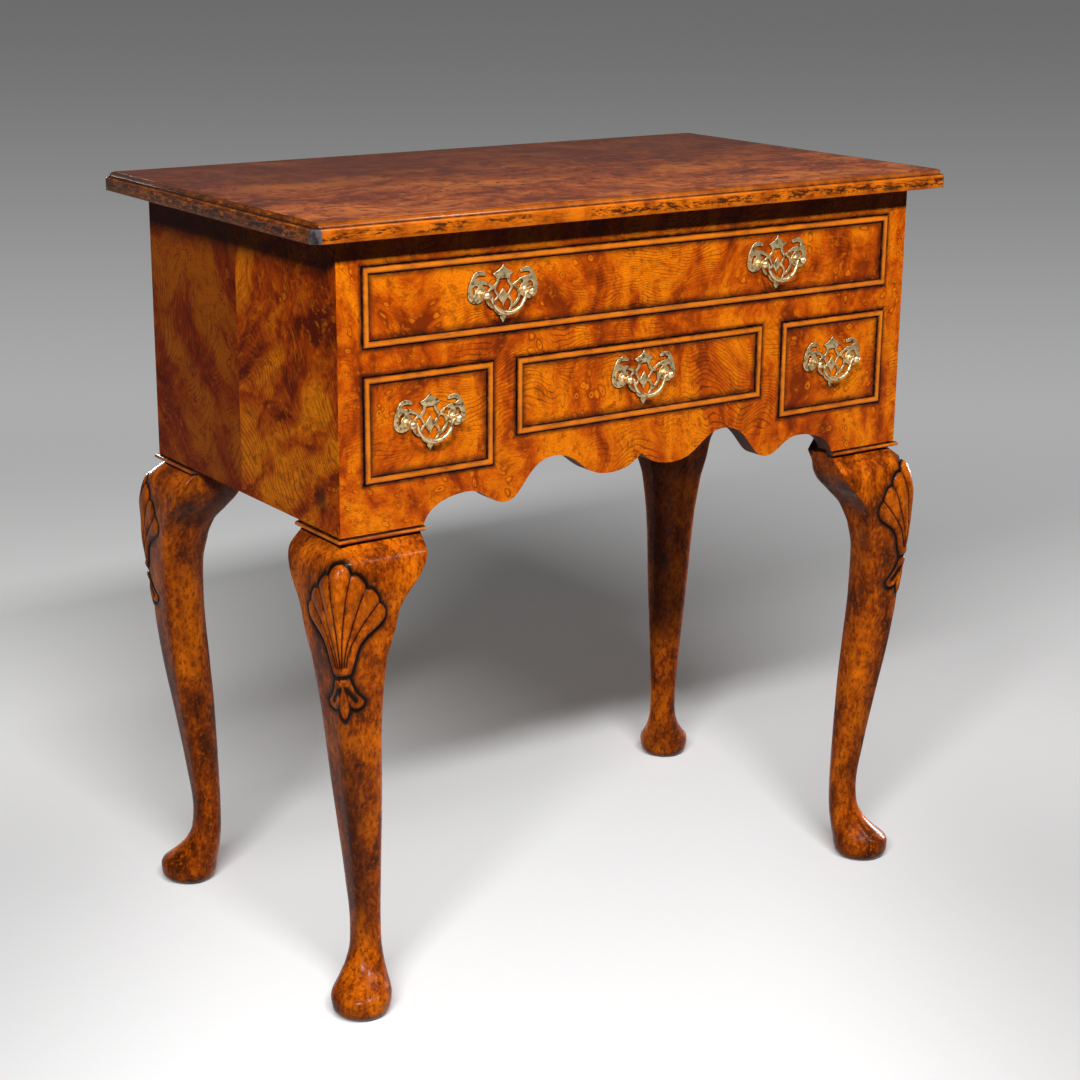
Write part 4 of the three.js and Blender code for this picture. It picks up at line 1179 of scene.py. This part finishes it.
PLATE_BEVEL = 0.5 * MM
CHAMFER = 0.4 * MM
PIN_RADIUS = 1.3 * MM
BAIL_HALF_WIDTH = 19.2 * MM
BAIL_DROP = 18.3 * MM


def turned(profile, sides):
    """A round form about Y: each row of a depth and a radius becomes a circle."""
    depth, radius = np.array(profile).T
    angle = np.linspace(0, 2 * math.pi, sides, endpoint=False)
    x = radius[:, None] * np.cos(angle)
    z = radius[:, None] * np.sin(angle)
    return shell(np.stack([x, np.broadcast_to(depth[:, None], x.shape), z], axis=-1))


def post_form(thickness):
    """One post turned about Y: thread, nut, shank, flange, neck and ball. The ball is half a circle."""
    nut_front = FACE_INSET + FRONT_THICKNESS + SEAT
    nut_back = nut_front + NUT_THICKNESS
    end = nut_back + THREAD_LENGTH
    plate_front = FACE_INSET - SEAT - thickness
    flange_front = plate_front - 0.7 * MM
    angles = np.linspace(math.asin(NECK_RADIUS / BALL_RADIUS), 0.985 * math.pi, 14)
    ball = np.c_[-POST_REACH + BALL_RADIUS * np.cos(angles), BALL_RADIUS * np.sin(angles)]
    body = [
        (end, SHANK_RADIUS - CHAMFER), (end - CHAMFER, SHANK_RADIUS),
        (plate_front + 0.9 * MM, SHANK_RADIUS), (plate_front + 0.9 * MM, FLANGE_RADIUS),
        (flange_front, FLANGE_RADIUS), (flange_front - CHAMFER, FLANGE_RADIUS - CHAMFER),
        (plate_front - 1.5 * MM, NECK_RADIUS + 0.3 * MM), (plate_front - 2.2 * MM, NECK_RADIUS - 0.2 * MM),
        *ball,
    ]
    nut = [(nut_back, NUT_WIDTH / math.sqrt(3)), (nut_front, NUT_WIDTH / math.sqrt(3))]
    return combined([turned(body, 24), turned(nut, 6)])


def bail_form(radius):
    """A bar along half an ellipse with a pin at each end. Its radius grows with the square of the sine.

    Between the bow and each pin it follows a quadratic curve. Rows hold x, z, the heading and the radius.
    """
    tip, root = POST_PITCH / 2 - BALL_RADIUS + 2.8 * MM, BAIL_HALF_WIDTH + PIN_RADIUS
    corner = (BAIL_HALF_WIDTH + 0.2 * PIN_RADIUS, 0.0)
    thin = 1.2 * PIN_RADIUS
    t = np.linspace(0.22, math.pi - 0.22, 49)
    x, z = BAIL_HALF_WIDTH * np.cos(t), -BAIL_DROP * np.sin(t)
    heading = np.arctan2(-BAIL_DROP * np.cos(t), -BAIL_HALF_WIDTH * np.sin(t))
    bow = np.c_[x, z, heading, thin + (radius - thin) * np.sin(t) ** 2]
    s = np.linspace(0, 1, 6)[1:-1, None]
    bend = (1 - s) ** 2 * (root, 0.0) + 2 * (1 - s) * s * corner + s**2 * bow[0, :2]
    turn = math.pi + s * (bow[0, 2] % (2 * math.pi) - math.pi)
    bends = np.c_[bend, turn, PIN_RADIUS + s * (bow[0, 3] - PIN_RADIUS)]
    pin_stops = ((tip, 0.8), (tip - 0.3 * MM, 1), (root, 1))
    pin = [(at, 0, math.pi, share * PIN_RADIUS) for at, share in pin_stops]
    half = np.concatenate([pin, bends])
    far = (half * (-1, 1, -1, 1))[::-1]
    x, z, heading, thick = (column[:, None] for column in np.concatenate([half, bow, far]).T)
    around = np.linspace(0, 2 * math.pi, 14, endpoint=False)
    across, depth = thick * np.sin(around), thick * np.cos(around) - POST_REACH
    return shell(np.stack([x - across * np.sin(heading), depth, z + across * np.cos(heading)], axis=-1))


class LOWBOY_OT_handles(bpy.types.Operator):
    """Makes the five handles: pierced plates with their posts, and swinging bails"""

    bl_idname = "lowboy.handles"
    bl_label = "Handles"

    def execute(self, context):
        brass = brass_material("brass")
        sizes = context.scene.lowboy_sizes
        thickness = sizes.plate_thickness
        outlines = [whole_outline(half) for half in (PLATE_OUTLINE, NECK_HOLE, HEART_HOLE)]
        for hole in (OVAL_HOLE, SHOULDER_HOLE, WING_HOLE):
            outlines.extend(side_outlines(hole))
        plate = flat_form(outlines, thickness, FACE_INSET - SEAT - thickness / 2, PLATE_BEVEL)
        points, faces = post_form(thickness)
        posts = [(points + (way * POST_PITCH / 2, 0, 0), faces) for way in (-1, 1)]
        form_points, form_faces = combined([plate, *posts])
        # Tarnish and painted shade: the plate's side walls, behind its front face, are made dark.
        behind = (plate[0][:, 1] - plate[0][:, 1].min()) / PLATE_BEVEL
        wax = np.zeros(len(form_points))
        wax[: len(behind)] = 0.9 * np.clip(behind - 0.35, 0, 1)
        bail_points, bail_faces = bail_form(sizes.bail_radius)
        for handle, drawer in HANDLES.items():
            name = f"{handle}_handle_plate"
            (x0, _, _), (x1, _, z1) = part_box(name)
            place = ((x0 + x1) / 2, FRONT, z1 - PLATE_OUTLINE[0][1] * MM)
            add_piece(name, form_points + place, form_faces, brass, drawer, name, "brass", {"wax": wax}, 45)
            name = f"{handle}_bail"
            add_piece(name, bail_points + place, bail_faces, brass, name, name, "brass", sharp=60)
        return {"FINISHED"}


# Stage


TARGET = Vector((77.37, 92.98, 350.0)) * MM
DISTANCE = 2505.46 * MM
AZIMUTH, ELEVATION, ROLL = (math.radians(angle) for angle in (-34.95, 16.51, 0.48))
LENS = 72.4
VIEW_FORWARD = (-math.sin(AZIMUTH), math.cos(AZIMUTH))
VIEW_ASIDE = (math.cos(AZIMUTH), math.sin(AZIMUTH))
BLACK = (0.0, 0.0, 0.0)
FLOOR_BOUNCE = (0.02, 0.02, 0.02)
FAINT_LIGHT = (0.025, 0.025, 0.025)
LAMP_DEPTH = 0.3
MIDDLE = (0, 0, 0.45)
LAMPS = (
    # name, place and aim in metres, width, watts, and whether the floor alone is lit or left out
    ("floor_strip", (-1.75, -2.42, 2.75), (-0.35, 0, 0.55), 2.9, 205, "INCLUDE"),
    ("front_box", (0.05, -2.42, 2.75), MIDDLE, 0.45, 60, "EXCLUDE"),
    ("left_box", (-2.2, -2.42, 2.75), MIDDLE, 0.8, 134, "EXCLUDE"),
    ("side_box", (1.75, -2.42, 2.75), MIDDLE, 0.35, 24, "EXCLUDE"),
    ("right_box", (2.9, 0.35, 0.6), MIDDLE, 0.8, 62, "EXCLUDE"),
    ("rear_box", (0.25, 2.9, 0.6), MIDDLE, 0.8, 62, "EXCLUDE"),
)


def stand(name, data, place, across, upward, back):
    """Adds an object at a place, with its own X, Y and Z along the three directions."""
    made = bpy.data.objects.new(name, data)
    bpy.context.scene.collection.objects.link(made)
    made.matrix_world = Matrix.Translation(place) @ Matrix((across, upward, back)).transposed().to_4x4()
    return made


def add_lamp(floor, name, place, aim, width, watts, state):
    """A rectangular lamp, level along X. By its state it lights the floor alone or all but the floor."""
    data = bpy.data.lights.new(name, "AREA")
    data.shape = "RECTANGLE"
    data.size, data.size_y = width, LAMP_DEPTH
    data.energy = watts
    back = (Vector(place) - Vector(aim)).normalized()
    across = Vector((1, 0, 0))
    across = (across - across.dot(back) * back).normalized()
    lamp = stand(name, data, place, across, back.cross(across), back)
    lit = bpy.data.collections.new(f"{name}_floor")
    lit.objects.link(floor)
    lit.collection_objects[0].light_linking.link_state = state
    lamp.light_linking.receiver_collection = lit


class LOWBOY_OT_stage(bpy.types.Operator):
    """Makes the studio floor and backdrop, the soft lamps and the camera"""

    bl_idname = "lowboy.stage"
    bl_label = "Studio"

    def execute(self, context):
        shades = context.scene.lowboy_colours
        floor = self.floor(shades)
        self.camera(context)
        for lamp in LAMPS:
            add_lamp(floor, *lamp)
        context.scene.world = self.world(shades)
        context.scene.view_settings.view_transform = "Standard"
        return {"FINISHED"}

    @staticmethod
    def floor(shades):
        """A floor that bends up into the backdrop: flat, then a quarter circle, then upright."""
        bend, front, start, height, half_width = 1.2, -4.5, 2.2, 5.0, 7.0
        angle = np.linspace(0, math.pi / 2, 24)
        away = np.concatenate([[front], start + bend * np.sin(angle), [start + bend]])
        z = np.concatenate([[0.0], bend * (1 - np.cos(angle)), [height]])
        forward, aside = np.array(VIEW_FORWARD), np.array(VIEW_ASIDE) * half_width
        rows = [[(*(a * forward + side * aside), b) for side in (-1, 1)] for a, b in zip(away, z)]
        faces = grid_faces(len(rows), 2, False)
        mesh = bpy.data.meshes.new("studio_floor")
        mesh.from_pydata(np.array(rows).reshape(-1, 3).tolist(), [], faces)
        mesh.polygons.foreach_set("use_smooth", [True] * len(mesh.polygons))
        made = bpy.data.objects.new("studio_floor", mesh)
        bpy.context.scene.collection.objects.link(made)
        mesh.materials.append(LOWBOY_OT_stage.floor_material(shades))
        return made

    @staticmethod
    def floor_material(shades):
        """Pale near the piece and greyer far behind, where it shines by itself and needs no lamp.

        It is nearly black where it isn't seen, so that it throws little light back on the piece. Along is
        the depth away from the camera plus the height.
        """
        graph = Graph("studio_floor")
        position = graph.place()
        depth = graph.vector("DOT_PRODUCT", position, (*VIEW_FORWARD, 0.0), output="Value")
        aside = graph.vector("DOT_PRODUCT", position, (*VIEW_ASIDE, 0.0), output="Value")
        along = depth + graph.axes(position)[2]
        far = graph.between(along, 1.1, 2.3)
        # Painted pool of light: the floor's colour is darker to the sides in front of the piece.
        edge = graph.between(abs(aside), 0.22, 0.62) * graph.between(depth, 0.5, -0.1)
        base = graph.mix(shades.floor, shades.floor_painted_falloff, edge)
        base = graph.mix(base, BLACK, far)
        shine = graph.mix(shades.floor_far, shades.backdrop, graph.between(along, 2.2, 4.4))
        shine = graph.mix(shades.floor_shadow, shine, far)
        seen = graph.seen()
        base = graph.mix(FLOOR_BOUNCE, base, seen)
        shine = graph.mix(BLACK, shine, seen)
        return graph.finish(base, 0.9, specular=0.0, emission=shine)

    @staticmethod
    def world(shades):
        """Nearly dark as a light, and grey where it is seen straight on or in a glossy piece."""
        graph = Graph("studio", bpy.data.worlds.new("studio"))
        shade = graph.mix(FAINT_LIGHT, shades.surroundings, graph.seen())
        light = graph.node("ShaderNodeBackground", inputs={"Color": shade})
        graph.node("ShaderNodeOutputWorld", inputs={0: light})
        return graph.owner

    @staticmethod
    def camera(context):
        """The camera looks at the target from the azimuth and elevation, rolled about its own axis."""
        level = Vector((*VIEW_ASIDE, 0))
        back = Vector((*(-math.cos(ELEVATION) * part for part in VIEW_FORWARD), math.sin(ELEVATION)))
        upright = back.cross(level)
        across = math.cos(ROLL) * level + math.sin(ROLL) * upright
        upward = math.cos(ROLL) * upright - math.sin(ROLL) * level
        data = bpy.data.cameras.new("camera")
        data.lens = LENS
        data.sensor_width = 36
        data.clip_end = 50
        context.scene.camera = stand("camera", data, TARGET + DISTANCE * back, across, upward, back)


# Panel and registration


OPERATORS = (
    LOWBOY_OT_case, LOWBOY_OT_top, LOWBOY_OT_legs, LOWBOY_OT_drawers, LOWBOY_OT_handles, LOWBOY_OT_stage,
)


class LOWBOY_PT_maker(bpy.types.Panel):
    """Buttons that make the lowboy's pieces"""

    bl_idname = "LOWBOY_PT_maker"
    bl_label = "Lowboy"
    bl_space_type = "VIEW_3D"
    bl_region_type = "UI"
    bl_category = "Lowboy"

    def draw(self, context):
        for operator in OPERATORS:
            self.layout.operator(operator.bl_idname)
        for group in (context.scene.lowboy_sizes, context.scene.lowboy_colours):
            for name in group.bl_rna.properties.keys():
                if name not in ("rna_type", "name"):
                    self.layout.prop(group, name)


CLASSES = (LowboySizes, LowboyColours, *OPERATORS, LOWBOY_PT_maker)


def register():
    for item in CLASSES:
        bpy.utils.register_class(item)
    bpy.types.Scene.lowboy_sizes = bpy.props.PointerProperty(type=LowboySizes)
    bpy.types.Scene.lowboy_colours = bpy.props.PointerProperty(type=LowboyColours)


def unregister():
    del bpy.types.Scene.lowboy_colours
    del bpy.types.Scene.lowboy_sizes
    for item in reversed(CLASSES):
        bpy.utils.unregister_class(item)


def main():
    register()
    bpy.ops.lowboy.case()
    bpy.ops.lowboy.top()
    bpy.ops.lowboy.legs()
    bpy.ops.lowboy.drawers()
    bpy.ops.lowboy.handles()
    bpy.ops.lowboy.stage()


if __name__ == "__main__":
    main()
